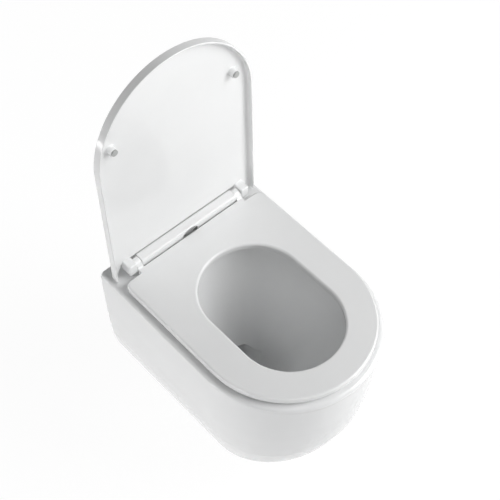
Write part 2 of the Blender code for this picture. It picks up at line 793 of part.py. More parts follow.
def make_nut(name, place, toward, across, height, bore):
    """A hexagonal nut that starts at a place and grows along its axis."""
    nut = rod(name, (0, 0, 0), (0, 0, height), across / math.cos(math.pi / HEXAGON), HEXAGON)
    hole = rod(name + "_bore", (0, 0, -OVERRUN), (0, 0, height + OVERRUN), bore, SMALL_SIDES)
    for thing in (nut, hole):
        thing.location = place
        thing.rotation_euler = TURNS[toward]
    return cut(nut, hole)


def make_wall_fixings():
    """The sleeve, washer and nut on each wall stud, growing out from the wall."""
    outer = (STUD_HOLE - 2 * GAP) / 2
    inner = outer - SLEEVE_WALL
    flange = WEB_THICKNESS + GAP
    flange_end = flange + SLEEVE_FLANGE_THICKNESS
    sleeve = [(SLEEVE_FLANGE / 2, flange_end), (SLEEVE_FLANGE / 2, flange), (outer, flange),
              (outer, GAP), (inner, GAP), (inner, flange_end)]
    washer_end = flange_end + GAP + WASHER_THICKNESS
    washer = sleeve_profile(WASHER_OUTER, STUD + 2 * GAP, flange_end + GAP, washer_end)
    for side, x in (("left", -STUD_SPACING / 2), ("right", STUD_SPACING / 2)):
        place = (x, 0, 0)
        finish_part(turned("stud_sleeve_" + side, sleeve, place, "-Y", hollow=True),
                    WHITE_PLASTIC)
        finish_part(turned("stud_washer_" + side, washer, place, "-Y", hollow=True), STEEL)
        nut = make_nut("stud_nut_" + side, (x, -washer_end - GAP, 0), "-Y", NUT_ACROSS,
                       NUT_HEIGHT, STUD)
        finish_part(nut, STEEL)


def make_deck_fixings():
    """The bolts, rubber plugs and plug nuts in the deck's two hinge holes."""
    under_head = PLATE_TOP + GAP - DECK_Z
    head_top = under_head + BOLT_HEAD_HEIGHT
    bolt_end = under_head - BOLT_LENGTH
    bolt_profile = [(0, head_top), (BOLT_HEAD / 2, head_top), (BOLT_HEAD / 2, under_head),
                    (BOLT / 2, under_head), (BOLT / 2, bolt_end), (0, bolt_end)]
    plug_end = -GAP - PLUG_LENGTH
    plug_bore = BOLT + 2 * GAP
    plug_profile = sleeve_profile(HINGE_HOLE - 2 * GAP, plug_bore, plug_end, -GAP)
    for side, x in (("left", -HINGE_X), ("right", HINGE_X)):
        place = (x, AXIS_Y, DECK_Z)
        bolt = turned("hinge_bolt_" + side, bolt_profile, place)
        cut(bolt, rod_z("bolt_socket_" + side, x, AXIS_Y, DECK_Z + head_top - SOCKET_DEPTH,
                        DECK_Z + head_top + OVERRUN, BOLT_SOCKET, sides=HEXAGON))
        finish_part(bolt, STEEL)
        finish_part(turned("expansion_plug_" + side, plug_profile, place, hollow=True),
                    BLACK_RUBBER)
        nut = make_nut("plug_nut_" + side, (x, AXIS_Y, DECK_Z + plug_end - GAP
                                            - PLUG_NUT_HEIGHT), "Z", PLUG_NUT_ACROSS,
                       PLUG_NUT_HEIGHT, plug_bore)
        finish_part(nut, BRASS)


def post_profile():
    """A post's section: a tapered tip, the latch groove, the stem and its rivet."""
    head, neck, rivet = POST / 2, POST_NECK / 2, RIVET / 2
    tip = POST_HEIGHT - (head - neck)
    groove = LATCH_BASE - GAP
    groove_top = groove + LATCH_THICKNESS + 2 * GAP
    foot = PLATE_THICKNESS + 2 * GAP
    return [(0, POST_HEIGHT), (neck, POST_HEIGHT), (head, tip), (head, groove_top),
            (neck, groove_top), (neck, groove), (head, groove), (head, foot), (rivet, foot),
            (rivet, 2 * GAP), (0, 2 * GAP)]


def make_posts(pivot):
    """The slotted plates on the deck, each with its upright post."""
    plate_low = DECK_Z + GAP
    for side, way in (("left", -1), ("right", 1)):
        post_x = way * POST_X
        bolt_x = way * HINGE_X
        near = post_x - way * PLATE_END / 2
        far = bolt_x + way * PLATE_END
        half = PLATE_DEPTH / 2
        base = box("post_plate_" + side, (min(near, far), AXIS_Y - half, plate_low),
                   (max(near, far), AXIS_Y + half, PLATE_TOP))
        slot_half = BOLT / 2 + GAP
        slot = box("plate_slot_" + side,
                   (bolt_x - slot_half, AXIS_Y - slot_half - ADJUST, plate_low - OVERRUN),
                   (bolt_x + slot_half, AXIS_Y + slot_half + ADJUST, PLATE_TOP + OVERRUN))
        rivet_hole = rod_z("rivet_hole_" + side, post_x, AXIS_Y, plate_low - OVERRUN,
                           PLATE_TOP + OVERRUN, RIVET + 2 * GAP)
        cut(base, slot, rivet_hole)
        ride(finish_part(base, STEEL), pivot)
        ride(finish_part(turned("hinge_post_" + side, post_profile(), (post_x, AXIS_Y, DECK_Z)),
                         STEEL), pivot)


def bar_profile(inset, bottom):
    """The bar's section as points across Y and up Z, with a rounded top."""
    radius = BAR_EDGE_RADIUS - inset
    top = DECK_Z + BAR_TOP - inset
    front = BAR_FRONT + inset
    back = BAR_BACK - inset
    points = [(front, bottom)]
    points += corner_arc((front + radius, top - radius), radius, math.pi, QUARTER_TURN)
    points += corner_arc((back - radius, top - radius), radius, QUARTER_TURN, 0)
    points.append((back, bottom))
    return points


def along_x(name, profile, half):
    """Extrude a section in Y and Z along X, both ways from the middle."""
    return loft(name, [[Vector((x, y, z)) for y, z in profile] for x in (-half, half)])


def make_bar(pivot):
    """The hinge bar's cover, open below, with the scallop for the button."""
    bar = along_x("hinge_bar", bar_profile(0, DECK_Z + BAR_BOTTOM), BAR_HALF)
    inside = along_x("bar_inside", bar_profile(BAR_WALL, DECK_Z + BAR_BOTTOM - OVERRUN),
                     BAR_HALF - BAR_WALL)
    scallop = rod_y("bar_scallop", 0, 0, BAR_FRONT - OVERRUN, BUTTON_BACK, 1,
                    sides=ROUND_SIDES)
    stretch = Matrix.Diagonal((RECESS_WIDTH, 1, 2 * RECESS_RISE, 1))
    scallop.data.transform(stretch)
    scallop.data.transform(Matrix.Translation((0, 0, DECK_Z + RECESS_BASE)))
    cut(bar, inside, scallop)
    for side, way in (("left", -1), ("right", 1)):
        cut(bar, rod_x("nose_hole_" + side, way * (BAR_HALF - BAR_WALL - OVERRUN),
                       way * (BAR_HALF + OVERRUN), AXIS_Y, AXIS.z, DAMPER_NOSE + 2 * GAP))
    ride(finish_part(bar, DUROPLAST), pivot)


def make_base(pivot):
    """The plate that closes the bar from below and carries the latches."""
    half_depth = BAR_DEPTH / 2 - BAR_WALL - GAP
    low = DECK_Z + BAR_BOTTOM + GAP
    high = low + BASE_THICKNESS
    base = box("bar_base", (-BASE_LENGTH / 2, AXIS_Y - half_depth, low),
               (BASE_LENGTH / 2, AXIS_Y + half_depth, high))
    rail_top = DECK_Z + LATCH_BASE - GAP
    for side, way in (("left", -1), ("right", 1)):
        for i, place in enumerate(RAIL_PLACES):
            x = way * place
            join(base, box(f"rail_{side}_{i}",
                           (x - RAIL_WIDTH / 2, AXIS_Y - half_depth, high - BASE_THICKNESS / 2),
                           (x + RAIL_WIDTH / 2, AXIS_Y + half_depth, rail_top)))
        cut(base, rod_z("base_hole_" + side, way * POST_X, AXIS_Y, low - OVERRUN,
                        high + OVERRUN, POST + 2 * END_GAP))
    ride(finish_part(base, WHITE_PLASTIC), pivot)


def make_dampers(pivot):
    """The soft-close damper bodies in the bar's ends, measured out from the middle."""
    inner = DAMPER_END - DAMPER_LENGTH
    body, nose, bore = DAMPER / 2, DAMPER_NOSE / 2, SHAFT / 2 + GAP
    bore_end = BAR_HALF - SHAFT_START - GAP
    profile = [(0, bore_end), (bore, bore_end), (bore, BAR_HALF), (nose, BAR_HALF),
               (nose, DAMPER_END), (body, DAMPER_END), (body, inner), (0, inner)]
    for side, toward in (("left", "-X"), ("right", "X")):
        damper = turned("damper_" + side, profile, (0, AXIS_Y, AXIS.z), toward)
        ride(finish_part(damper, DAMPER_PLASTIC), pivot)


def key_flats(name, x_start, x_end, width, diameter):
    """Two blocks that cut a round shaft or bore down to its key width."""
    low, high = min(x_start, x_end), max(x_start, x_end)
    reach = diameter / 2 + OVERRUN
    return [box(f"{name}_{label}", (low, AXIS_Y - reach, base), (high, AXIS_Y + reach, top))
            for label, base, top in (("above", AXIS.z + width / 2, AXIS.z + reach),
                                     ("below", AXIS.z - reach, AXIS.z - width / 2))]


def make_shafts(seat_pivot, lid_pivot):
    """The damper shafts: the left one drives the lid and the right one the seat."""
    start = BAR_HALF - SHAFT_START
    end = KNUCKLE_START + SHAFT_BORE_DEPTH - END_GAP
    for side, way, pivot, key_start, key_end in (
            ("left", -1, lid_pivot, KNUCKLE_START, end + OVERRUN),
            ("right", 1, seat_pivot, LUG_START, LUG_END)):
        shaft = rod_x("damper_shaft_" + side, way * start, way * end, AXIS_Y, AXIS.z, SHAFT)
        cut(shaft, *key_flats("shaft_flat_" + side, way * key_start, way * key_end,
                              SHAFT_KEY, SHAFT))
        ride(finish_part(shaft, STEEL), pivot)


def make_bushes(seat_pivot, lid_pivot):
    """The bushes where a shaft turns freely: left lug and right knuckle."""
    for name, way, pivot, start, end in (
            ("seat_bush", -1, seat_pivot, LUG_START + GAP, LUG_END - GAP),
            ("lid_bush", 1, lid_pivot, KNUCKLE_START + GAP,
             KNUCKLE_START + SHAFT_BORE_DEPTH - GAP)):
        bush = rod_x(name, way * start, way * end, AXIS_Y, AXIS.z, LUG_BORE - 2 * GAP)
        cut(bush, rod_x(name + "_bore", way * (start - OVERRUN), way * (end + OVERRUN), AXIS_Y,
                        AXIS.z, SHAFT + 2 * GAP))
        ride(finish_part(bush, GREY_PLASTIC), pivot)


def shaft_bore(name, way, start, end, keyed):
    """A bore for a shaft: round for a bush, or keyed to the shaft's flats."""
    if not keyed:
        return rod_x(name, way * start, way * end, AXIS_Y, AXIS.z, LUG_BORE)
    bore = rod_x(name, way * start, way * end, AXIS_Y, AXIS.z, SHAFT + 2 * GAP)
    bore_key = SHAFT_KEY + 2 * GAP
    for flat in key_flats(name + "_flat", way * (start - OVERRUN), way * (end + OVERRUN),
                          bore_key, SHAFT):
        cut(bore, flat)
    return bore


def seat_outline():
    """The seat's outside in plan, listed from the middle of the back."""
    half = SEAT_WIDTH / 2
    step_x = LUG_END + GAP
    radius = SEAT_CORNER_RADIUS
    centre = (half - radius, SEAT_CORNER_Y - radius)
    right = [(0, SEAT_REAR_Y), (step_x, SEAT_REAR_Y), (step_x, SEAT_CORNER_Y)]
    right += corner_arc(centre, radius, QUARTER_TURN, 0, 2 * EDGE_STEPS)
    arc = d_ring(half, SEAT_FRONT_Y, SEAT_CORNER_Y)[1:-1]
    right += arc[:len(arc) // 2 + 1]
    left = [(-x, y) for x, y in reversed(right[1:-1])]
    return right + left


def opening_rings():
    """Rings of the seat's opening, flared where they round its top and bottom edges."""
    radius = SEAT_EDGE_RADIUS
    rows = [(SEAT_TOP + OVERRUN, radius)]
    arcs = [(QUARTER_TURN * i / EDGE_STEPS) for i in range(EDGE_STEPS + 1)]
    rows += [(SEAT_TOP - radius * (1 - math.cos(turn)), radius * (1 - math.sin(turn)))
             for turn in arcs]
    rows += [(SEAT_BOTTOM + radius * (1 - math.cos(turn)), radius * (1 - math.sin(turn)))
             for turn in reversed(arcs)]
    rows.append((SEAT_BOTTOM - OVERRUN, radius))
    return [at_height(oval_ring(OPENING_WIDTH / 2 + flare, OPENING_REAR_Y + flare,
                                OPENING_FRONT_Y - flare, OPENING_STRAIGHT_SHARE), z)
            for z, flare in rows]


def make_seat(pivot):
    """The seat ring with its opening, pockets for the lugs and bumper sockets."""
    seat = plate("seat_ring", seat_outline(), SEAT_BOTTOM, SEAT_TOP, SEAT_EDGE_RADIUS)
    cut(seat, loft("seat_opening", opening_rings()))
    for side, way in (("left", -1), ("right", 1)):
        near, far = sorted((way * (LUG_START - GAP), way * (LUG_END + GAP)))
        cut(seat, box("lug_pocket_" + side, (near, SEAT_CORNER_Y, LUG_BOTTOM - GAP),
                      (far, SEAT_REAR_Y + OVERRUN, SEAT_TOP + OVERRUN)))
        for i, (x, y) in enumerate(SEAT_PAD_PLACES):
            cut(seat, rod_z(f"pad_socket_{side}_{i}", way * x, y, SEAT_BOTTOM - OVERRUN,
                            SEAT_BOTTOM + PAD_STEM_LENGTH + GAP, PAD_STEM + 2 * GAP))
    ride(finish_part(seat, DUROPLAST), pivot)


def make_lugs(pivot):
    """The lugs that carry the seat on the shafts, each rooted in its pocket."""
    for side, way in (("left", -1), ("right", 1)):
        near, far = sorted((way * LUG_START, way * LUG_END))
        lug = rod_x("seat_lug_" + side, near, far, AXIS_Y, AXIS.z, 2 * LUG_RADIUS,
                    sides=ROUND_SIDES)
        join(lug, box("lug_root_" + side, (near, SEAT_CORNER_Y + GAP, LUG_BOTTOM),
                      (far, AXIS_Y, SEAT_TOP - GAP)))
        cut(lug, shaft_bore("lug_bore_" + side, way, LUG_START - OVERRUN, LUG_END + OVERRUN,
                            keyed=way > 0))
        ride(finish_part(lug, DUROPLAST), pivot)


def bumper_profile(pad, low, high):
    """A bumper's section: a round pad under a narrower stem."""
    top = high + GAP + PAD_STEM_LENGTH
    return [(0, top), (PAD_STEM / 2, top), (PAD_STEM / 2, high), (pad / 2, high),
            (pad / 2, low), (0, low)]


def make_seat_bumpers(pivot):
    """The four grey pads under the seat."""
    profile = bumper_profile(SEAT_PAD, GAP, SEAT_LIFT - GAP)
    for side, way in (("left", -1), ("right", 1)):
        for label, (x, y) in zip(("rear", "front"), SEAT_PAD_PLACES):
            pad = turned(f"seat_bumper_{label}_{side}", profile, (way * x, y, DECK_Z))
            ride(finish_part(pad, GREY_RUBBER), pivot)


def wing_outline(way):
    """A wing in plan, past its knuckle, run on forward of its seam with the lid."""
    half = LID_WIDTH / 2
    tip_y = AXIS_Y + WING_REACH
    tip = WING_TIP_RADIUS
    waist = Vector((half - WING_WAIST_WIDTH, AXIS_Y + WING_WAIST_REACH))
    root = Vector((KNUCKLE_END, SEAT_REAR_Y))
    ahead = 2 * root - waist
    right = [(ahead.x, ahead.y), (waist.x, waist.y)]
    right += corner_arc((half - WING_TIP_WIDTH + tip, tip_y - tip), tip, math.pi, QUARTER_TURN)
    right += corner_arc((half - tip, tip_y - tip), tip, QUARTER_TURN, 0)
    right.append((half, ahead.y))
    if way > 0:
        return right
    return [(-x, y) for x, y in reversed(right)]


def lid_inside(name):
    """The hollow under the lid, rounded where the panel meets the rim."""
    half = LID_WIDTH / 2 - LID_RIM
    front = LID_FRONT_Y + LID_RIM
    rings = [at_height(d_ring(half, front, OVERRUN), LID_BOTTOM - OVERRUN)]
    for i in range(EDGE_STEPS + 1):
        turn = QUARTER_TURN * i / EDGE_STEPS
        inset = LID_INNER_RADIUS * (1 - math.cos(turn))
        height = LID_FACE - LID_INNER_RADIUS * (1 - math.sin(turn))
        rings.append(at_height(d_ring(half - inset, front + inset, OVERRUN), height))
    return loft(name, rings)


def lid_plate(name, outline):
    """An outline as thick as the lid, cut hollow from below where the lid is."""
    sunk = LID_BOTTOM - 2 * LID_EDGE_RADIUS
    lid = plate(name, outline, sunk, LID_TOP, LID_EDGE_RADIUS)
    trim = box(name + "_trim", (-LID_WIDTH, LID_FRONT_Y - OVERRUN, sunk - OVERRUN),
               (LID_WIDTH, OVERRUN, LID_BOTTOM))
    return cut(lid, trim, lid_inside(name + "_inside"))


def make_lid(pivot):
    """The lid's panel and rim with the bumper collars."""
    lid = lid_plate("seat_lid", d_ring(LID_WIDTH / 2, LID_FRONT_Y, SEAT_REAR_Y))
    for side, way in (("left", -1), ("right", 1)):
        bumper_x = way * LID_BUMPER_X
        join(lid, rod_z("lid_collar_" + side, bumper_x, LID_BUMPER_Y,
                        LID_FACE - LID_COLLAR_HEIGHT, LID_FACE + GAP, LID_COLLAR))
        cut(lid, rod_z("lid_socket_" + side, bumper_x, LID_BUMPER_Y,
                       LID_FACE - LID_COLLAR_HEIGHT - OVERRUN,
                       LID_FACE - LID_COLLAR_HEIGHT + PAD_STEM_LENGTH + GAP,
                       PAD_STEM + 2 * GAP))
    ride(finish_part(lid, DUROPLAST), pivot)


def make_lid_knuckles(pivot):
    """The knuckles that hang the lid on the shafts, notched for its panel."""
    front = AXIS_Y - KNUCKLE_FRONT
    for side, way in (("left", -1), ("right", 1)):
        near, far = sorted((way * KNUCKLE_START, way * KNUCKLE_END))
        knuckle = box("lid_knuckle_" + side, (near, front, AXIS.z - KNUCKLE_DROP),
                      (far, AXIS_Y + KNUCKLE_BACK, LID_TOP))
        round_edges(knuckle, KNUCKLE_EDGE_RADIUS)
        cut(knuckle, box("panel_notch_" + side, (near - OVERRUN, front - OVERRUN,
                                                 LID_FACE - GAP),
                         (far + OVERRUN, SEAT_REAR_Y + GAP, LID_TOP + OVERRUN)),
            shaft_bore("knuckle_bore_" + side, way, KNUCKLE_START - OVERRUN,
                       KNUCKLE_START + SHAFT_BORE_DEPTH, keyed=way < 0))
        ride(finish_part(knuckle, DUROPLAST), pivot)


def make_lid_wings(pivot):
    """The wings that run on from the lid's sides past its knuckles."""
    for side, way in (("left", -1), ("right", 1)):
        wing = lid_plate("lid_wing_" + side, wing_outline(way))
        cut(wing, box("wing_seam_" + side, (-LID_WIDTH, LID_FRONT_Y, DECK_Z),
                      (LID_WIDTH, SEAT_REAR_Y + GAP, LID_TOP + OVERRUN)))
        ride(finish_part(wing, DUROPLAST), pivot)


def make_lid_bumpers(pivot):
    """The two grey pads that the shut lid rests on."""
    collar_end = LID_FACE - LID_COLLAR_HEIGHT
    profile = bumper_profile(LID_PAD, SEAT_TOP + GAP - DECK_Z, collar_end - GAP - DECK_Z)
    for side, way in (("left", -1), ("right", 1)):
        pad = turned("lid_bumper_" + side, profile, (way * LID_BUMPER_X, LID_BUMPER_Y, DECK_Z))
        ride(finish_part(pad, GREY_RUBBER), pivot)


def make_button(pivot):
    """The ribbed release button with the wedge that drives the latches."""
    width = RECESS_WIDTH - 2 * BUTTON_GAP
    rise = RECESS_RISE - BUTTON_GAP
    face = rod_y("release_button", 0, 0, BUTTON_FRONT, BUTTON_BACK, 1, sides=ROUND_SIDES)
    face.data.transform(Matrix.Diagonal((width, 1, 2 * rise, 1)))
    face.data.transform(Matrix.Translation((0, 0, DECK_Z + RECESS_BASE)))
    button_low = DECK_Z + LATCH_BASE - (NOSE_HEIGHT - LATCH_THICKNESS) / 2
    cut(face, box("button_foot", (-width, BUTTON_FRONT - OVERRUN, DECK_Z),
                  (width, BUTTON_BACK + OVERRUN, button_low)))
    for i in range(BUTTON_RIBS):
        x = (i - (BUTTON_RIBS - 1) / 2) * RIB_PITCH
        share = 1 - (2 * abs(x) / width) ** 2
        top = DECK_Z + RECESS_BASE + rise * math.sqrt(share) - RIB_WIDTH
        join(face, box(f"rib_{i}", (x - RIB_WIDTH / 2, BUTTON_FRONT - RIB_HEIGHT, button_low),
                       (x + RIB_WIDTH / 2, BUTTON_FRONT + RIB_HEIGHT, top)))
    half = NOSE_WIDTH / 2
    apex = BUTTON_BACK + half
    nose_outline = [(-half, BUTTON_BACK - GAP), (-half, BUTTON_BACK), (0, apex),
                    (half, BUTTON_BACK), (half, BUTTON_BACK - GAP)]
    join(face, plate("button_nose", nose_outline, button_low, button_low + NOSE_HEIGHT))
    ride(finish_part(face, GREY_PLASTIC), pivot)


def latch_outline(way):
    """A latch in plan: a wedge-ended tongue, then the full width to its end."""
    front = AXIS_Y - LATCH_DEPTH / 2
    back = AXIS_Y + LATCH_DEPTH / 2
    tongue = AXIS_Y - LATCH_TONGUE_FRONT
    face_sum = NOSE_WIDTH / 2 + BUTTON_BACK + GAP * math.sqrt(2)
    end = POST_X + POST / 2 + LATCH_WINDOW_GAP + LATCH_END
    right = [(LATCH_INNER_X, back), (LATCH_INNER_X, face_sum - LATCH_INNER_X),
             (face_sum - tongue, tongue), (LATCH_SHOULDER_X, tongue),
             (LATCH_SHOULDER_X, front), (end, front), (end, back)]
    return [(way * x, y) for x, y in right]


def make_latches(left_pivot, right_pivot):
    """The slides that hold the posts until the button pushes them apart."""
    low = DECK_Z + LATCH_BASE
    for side, way, pivot in (("left", -1, left_pivot), ("right", 1, right_pivot)):
        latch = plate("latch_" + side, latch_outline(way), low, low + LATCH_THICKNESS)
        near = POST_X - POST / 2 - BUTTON_TRAVEL - 2 * LATCH_WINDOW_GAP
        far = POST_X + POST / 2 + LATCH_WINDOW_GAP
        half = POST / 2 + LATCH_WINDOW_GAP
        x_low, x_high = sorted((way * near, way * far))
        cut(latch, box("latch_window_" + side, (x_low, AXIS_Y - half, low - OVERRUN),
                       (x_high, AXIS_Y + half, low + LATCH_THICKNESS + OVERRUN)))
        ride(finish_part(latch, GREY_PLASTIC), pivot)


def make_spring(pivot):
    """The button's return spring, drawn at its pressed length."""
    seat_y = BAR_BACK - BAR_WALL - GAP
    tip_y = BUTTON_BACK + BUTTON_TRAVEL + 2 * GAP
    length = seat_y - tip_y - SPRING_WIRE
    steps = SPRING_TURNS * COIL_STEPS
    radius = (SPRING - SPRING_WIRE) / 2
    curve = bpy.data.curves.new("button_spring", "CURVE")
    curve.dimensions = "3D"
    curve.bevel_depth = SPRING_WIRE / 2
    curve.bevel_resolution = 1
    curve.use_fill_caps = True
    spline = curve.splines.new("POLY")
    spline.points.add(steps)
    for i, point in enumerate(spline.points):
        turn = 2 * math.pi * i / COIL_STEPS
        point.co = (radius * math.cos(turn),
                    seat_y - SPRING_WIRE / 2 - length * i / steps,
                    DECK_Z + SPRING_RISE + radius * math.sin(turn), 1)
    spring = curve_to_mesh("button_spring", curve, Matrix.Identity(4))
    print("button spring's least gap, mm:", (length / SPRING_TURNS - SPRING_WIRE) / MM)
    ride(finish_part(spring, STEEL), pivot)


def main():
    """Build the pan and its fixings, then the hinge, seat and lid on their pivots."""
    make_back()
    make_deck()
    make_skirt()
    make_duct()
    make_bowl()
    make_trap()
    make_distributor()
    make_seal()
    make_wall_fixings()
    make_deck_fixings()
    posts = new_pivot("posts_pivot", (0, AXIS_Y, DECK_Z))
    make_posts(posts)
    bar = new_pivot("bar_pivot", (0, AXIS_Y, DECK_Z + BAR_BOTTOM))
    make_bar(bar)
    make_base(bar)
    make_dampers(bar)
    make_spring(bar)
    button = new_pivot("button_pivot", (0, BUTTON_FRONT, DECK_Z + RECESS_BASE))
    make_button(button)
    left_latch = new_pivot("left_latch_pivot", (-POST_X, AXIS_Y, DECK_Z + LATCH_BASE))
    right_latch = new_pivot("right_latch_pivot", (POST_X, AXIS_Y, DECK_Z + LATCH_BASE))
    make_latches(left_latch, right_latch)
    seat = new_pivot("seat_pivot", AXIS)
    make_seat(seat)
    make_lugs(seat)
    make_seat_bumpers(seat)
    lid = new_pivot("lid_pivot", AXIS)
    make_lid(lid)
    make_lid_knuckles(lid)
    make_lid_wings(lid)
    make_lid_bumpers(lid)
    make_shafts(seat, lid)
    make_bushes(seat, lid)
    lid.rotation_euler = (-LID_OPEN_ANGLE, 0, 0)


main()
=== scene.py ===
"""Looks of a wall-hung rimless toilet: its glazed pan, seat, lid and hinge.

Single sizes are in metres. The tables that in_mm reads, trap_path and mouth_rows are in
millimetres, and the tables of shares have no unit.
"""
import logging
import math
from collections.abc import Callable, Iterator
from contextlib import contextmanager
from dataclasses import dataclass
from enum import Enum

import bmesh
import bpy
import numpy as np
from mathutils import Matrix, Vector


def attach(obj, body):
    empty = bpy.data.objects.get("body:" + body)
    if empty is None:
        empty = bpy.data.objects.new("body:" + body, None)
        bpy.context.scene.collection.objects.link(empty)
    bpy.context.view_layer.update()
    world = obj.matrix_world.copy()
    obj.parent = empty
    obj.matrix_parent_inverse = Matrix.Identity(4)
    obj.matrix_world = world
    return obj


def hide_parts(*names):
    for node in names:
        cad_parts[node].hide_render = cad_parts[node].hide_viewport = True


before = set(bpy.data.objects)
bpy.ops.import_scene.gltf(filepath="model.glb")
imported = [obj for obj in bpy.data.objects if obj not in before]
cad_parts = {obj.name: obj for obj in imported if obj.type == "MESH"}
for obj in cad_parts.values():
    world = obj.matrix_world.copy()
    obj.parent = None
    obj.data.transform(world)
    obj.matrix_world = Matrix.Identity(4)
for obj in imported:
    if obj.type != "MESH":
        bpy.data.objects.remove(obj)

LOG = logging.getLogger("toilet")
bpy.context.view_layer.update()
MM = 0.001
QUARTER = math.pi / 2
CLEAR = 3 * MM  # How far a cutting tool starts outside the piece.
WELD = 0.01 * MM
SHARP = math.radians(50)
SMOOTH = math.radians(34)
SAME = 0.1 * MM  # Places closer than this along X count as level.
MITRE = 0.2  # Keeps an inset sharp corner from running far out.
SIDE_STEPS, FRONT_STEPS, BACK_STEPS, CORNER_STEPS = 12, 96, 64, 8
ROUND_STEPS, SMALL_STEPS = 64, 48
SIDES = {"left": -1, "right": 1}
Piece, Tree, Node = bpy.types.Object, bpy.types.NodeTree, bpy.types.Node
Edge = bmesh.types.BMEdge
Spot = tuple[float, float]
Outline = list[Spot]
Point = tuple[float, float, float]
Ring = list[Point]


class Cut(Enum):
    """How a Boolean tool changes a piece."""

    AWAY = "DIFFERENCE"
    JOIN = "UNION"


class Ends(Enum):
    """How the two ends of a row of rings are closed."""

    CAPPED = "capped"
    LOOPED = "looped"


# ---- Tools of the bench ----


def clear_pick() -> None:
    """Go to object mode with nothing selected."""
    if bpy.context.object and bpy.context.object.mode != "OBJECT":
        bpy.ops.object.mode_set(mode="OBJECT")
    bpy.ops.object.select_all(action="DESELECT")


def pick_only(piece: Piece) -> None:
    """Leave one object selected and active, in object mode."""
    clear_pick()
    piece.select_set(True)
    bpy.context.view_layer.objects.active = piece


def name_new(name: str) -> Piece:
    """Name the object that was just added, and its mesh."""
    piece = bpy.context.object
    piece.name = piece.data.name = name
    return piece


@contextmanager
def all_in_edit() -> Iterator[None]:
    """Hold the active object in edit mode with everything selected."""
    bpy.ops.object.mode_set(mode="EDIT")
    bpy.ops.mesh.select_all(action="SELECT")
    yield
    bpy.ops.object.mode_set(mode="OBJECT")


def extrude_rings(name: str, rings: list[Ring], ends: Ends = Ends.CAPPED) -> Piece:
    """Extrude a circle from ring to ring and close it.

    Args:
        name: Name of the new object.
        rings: Rings of places with equal point counts, in order.
        ends: Whether both ends are capped, or the last ring meets the first.

    Returns:
        A closed object with its faces outward.
    """
    count = len(rings[0])
    clear_pick()
    bpy.ops.mesh.primitive_circle_add(vertices=count, radius=1, fill_type="NOTHING")
    piece = name_new(name)
    with all_in_edit():
        shape = bmesh.from_edit_mesh(piece.data)
        shape.verts.ensure_lookup_table()
        for vert, place in zip(shape.verts, rings[0]):
            vert.co = place
        row = list(range(count))
        for ring in rings[1:] + ([rings[0]] if ends is Ends.LOOPED else []):
            bpy.ops.mesh.extrude_edges_move()
            shape = bmesh.from_edit_mesh(piece.data)
            shape.verts.index_update()
            shape.verts.ensure_lookup_table()
            spot = {index: i for i, index in enumerate(row)}
            for vert in shape.verts[-count:]:
                source = next(edge.other_vert(vert).index for edge in vert.link_edges
                              if edge.other_vert(vert).index in spot)
                row[spot[source]] = vert.index
                vert.co = ring[spot[source]]
        if ends is Ends.CAPPED:
            bpy.ops.mesh.edge_face_add()
            bpy.ops.mesh.select_non_manifold(extend=False)
            bpy.ops.mesh.edge_face_add()
        bpy.ops.mesh.select_all(action="SELECT")
        if ends is Ends.LOOPED:
            bpy.ops.mesh.remove_doubles(threshold=WELD)
        bpy.ops.mesh.normals_make_consistent(inside=False)
    return piece


def apply_tools(piece: Piece, *tools: Piece, way: Cut = Cut.AWAY) -> Piece:
    """Change a piece with others by applied Booleans, and remove the others.

    Args:
        piece: The piece to change.
        tools: The pieces that cut or join it, in order.
        way: What the tools do.

    Returns:
        The changed piece.
    """
    for tool in tools:
        pick_only(piece)
        change = piece.modifiers.new(tool.name, "BOOLEAN")
        change.operation = way.value
        change.object = tool
        change.solver = "MANIFOLD"
        bpy.ops.object.modifier_apply(modifier=change.name)
        bpy.data.objects.remove(tool)
    return piece


def bevel_edges(piece: Piece, chosen: Callable[[Edge], bool], width: float, steps: int) -> None:
    """Bevel the edges of a piece that a test picks.

    Args:
        piece: The piece to change.
        chosen: Test of an edge that joins two faces.
        width: Width of the bevel.
        steps: How many steps round it.
    """
    pick_only(piece)
    with all_in_edit():
        bpy.ops.mesh.select_mode(type="EDGE")
        bpy.ops.mesh.select_all(action="DESELECT")
        shape = bmesh.from_edit_mesh(piece.data)
        for edge in shape.edges:
            if len(edge.link_faces) == 2 and chosen(edge):
                edge.select = True
        bmesh.update_edit_mesh(piece.data)
        bpy.ops.mesh.bevel(offset=width, offset_type="OFFSET", segments=steps, profile=0.5,
                           affect="EDGES", clamp_overlap=False)


def is_sharp(edge: Edge) -> bool:
    """Tell whether the faces at an edge make a sharp corner."""
    return edge.calc_face_angle(0) > SHARP


def is_rim(edge: Edge) -> bool:
    """Tell whether an edge is a sharp one of a face across X."""
    a, b = (vert.co for vert in edge.verts)
    return abs(a.x - b.x) < SAME and is_sharp(edge)


def settle(piece: Piece, finish: "Finish", body: str, nodes: tuple[str, ...]) -> None:
    """Smooth a finished piece, dress it and hang it on its body.

    Args:
        piece: The finished piece.
        finish: What it is made of.
        body: CAD body that it moves with.
        nodes: CAD nodes that it stands for.
    """
    pick_only(piece)
    bpy.ops.object.shade_smooth_by_angle(angle=SMOOTH)
    change = piece.modifiers.new("weighted", "WEIGHTED_NORMAL")
    change.keep_sharp = True
    bpy.ops.object.modifier_apply(modifier=change.name)
    piece.data.materials.clear()
    piece.data.materials.append(finish.material())
    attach(piece, body)
    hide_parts(*nodes)
    LOG.info("%s: %d faces on %s", piece.name, len(piece.data.polygons), body)


# ---- Outlines and sections ----


def in_mm(*rows: tuple[float, ...]) -> list[tuple[float, ...]]:
    """Turn rows of millimetres into metres."""
    return [tuple(value * MM for value in row) for row in rows]


def lift(outline: Outline, z: float) -> Ring:
    """Raise a plan outline to a height."""
    return [(x, y, z) for x, y in outline]


def turns(count: int) -> list[float]:
    """Return the angles of evenly spaced points round a circle."""
    return [2 * math.pi * i / count for i in range(count)]


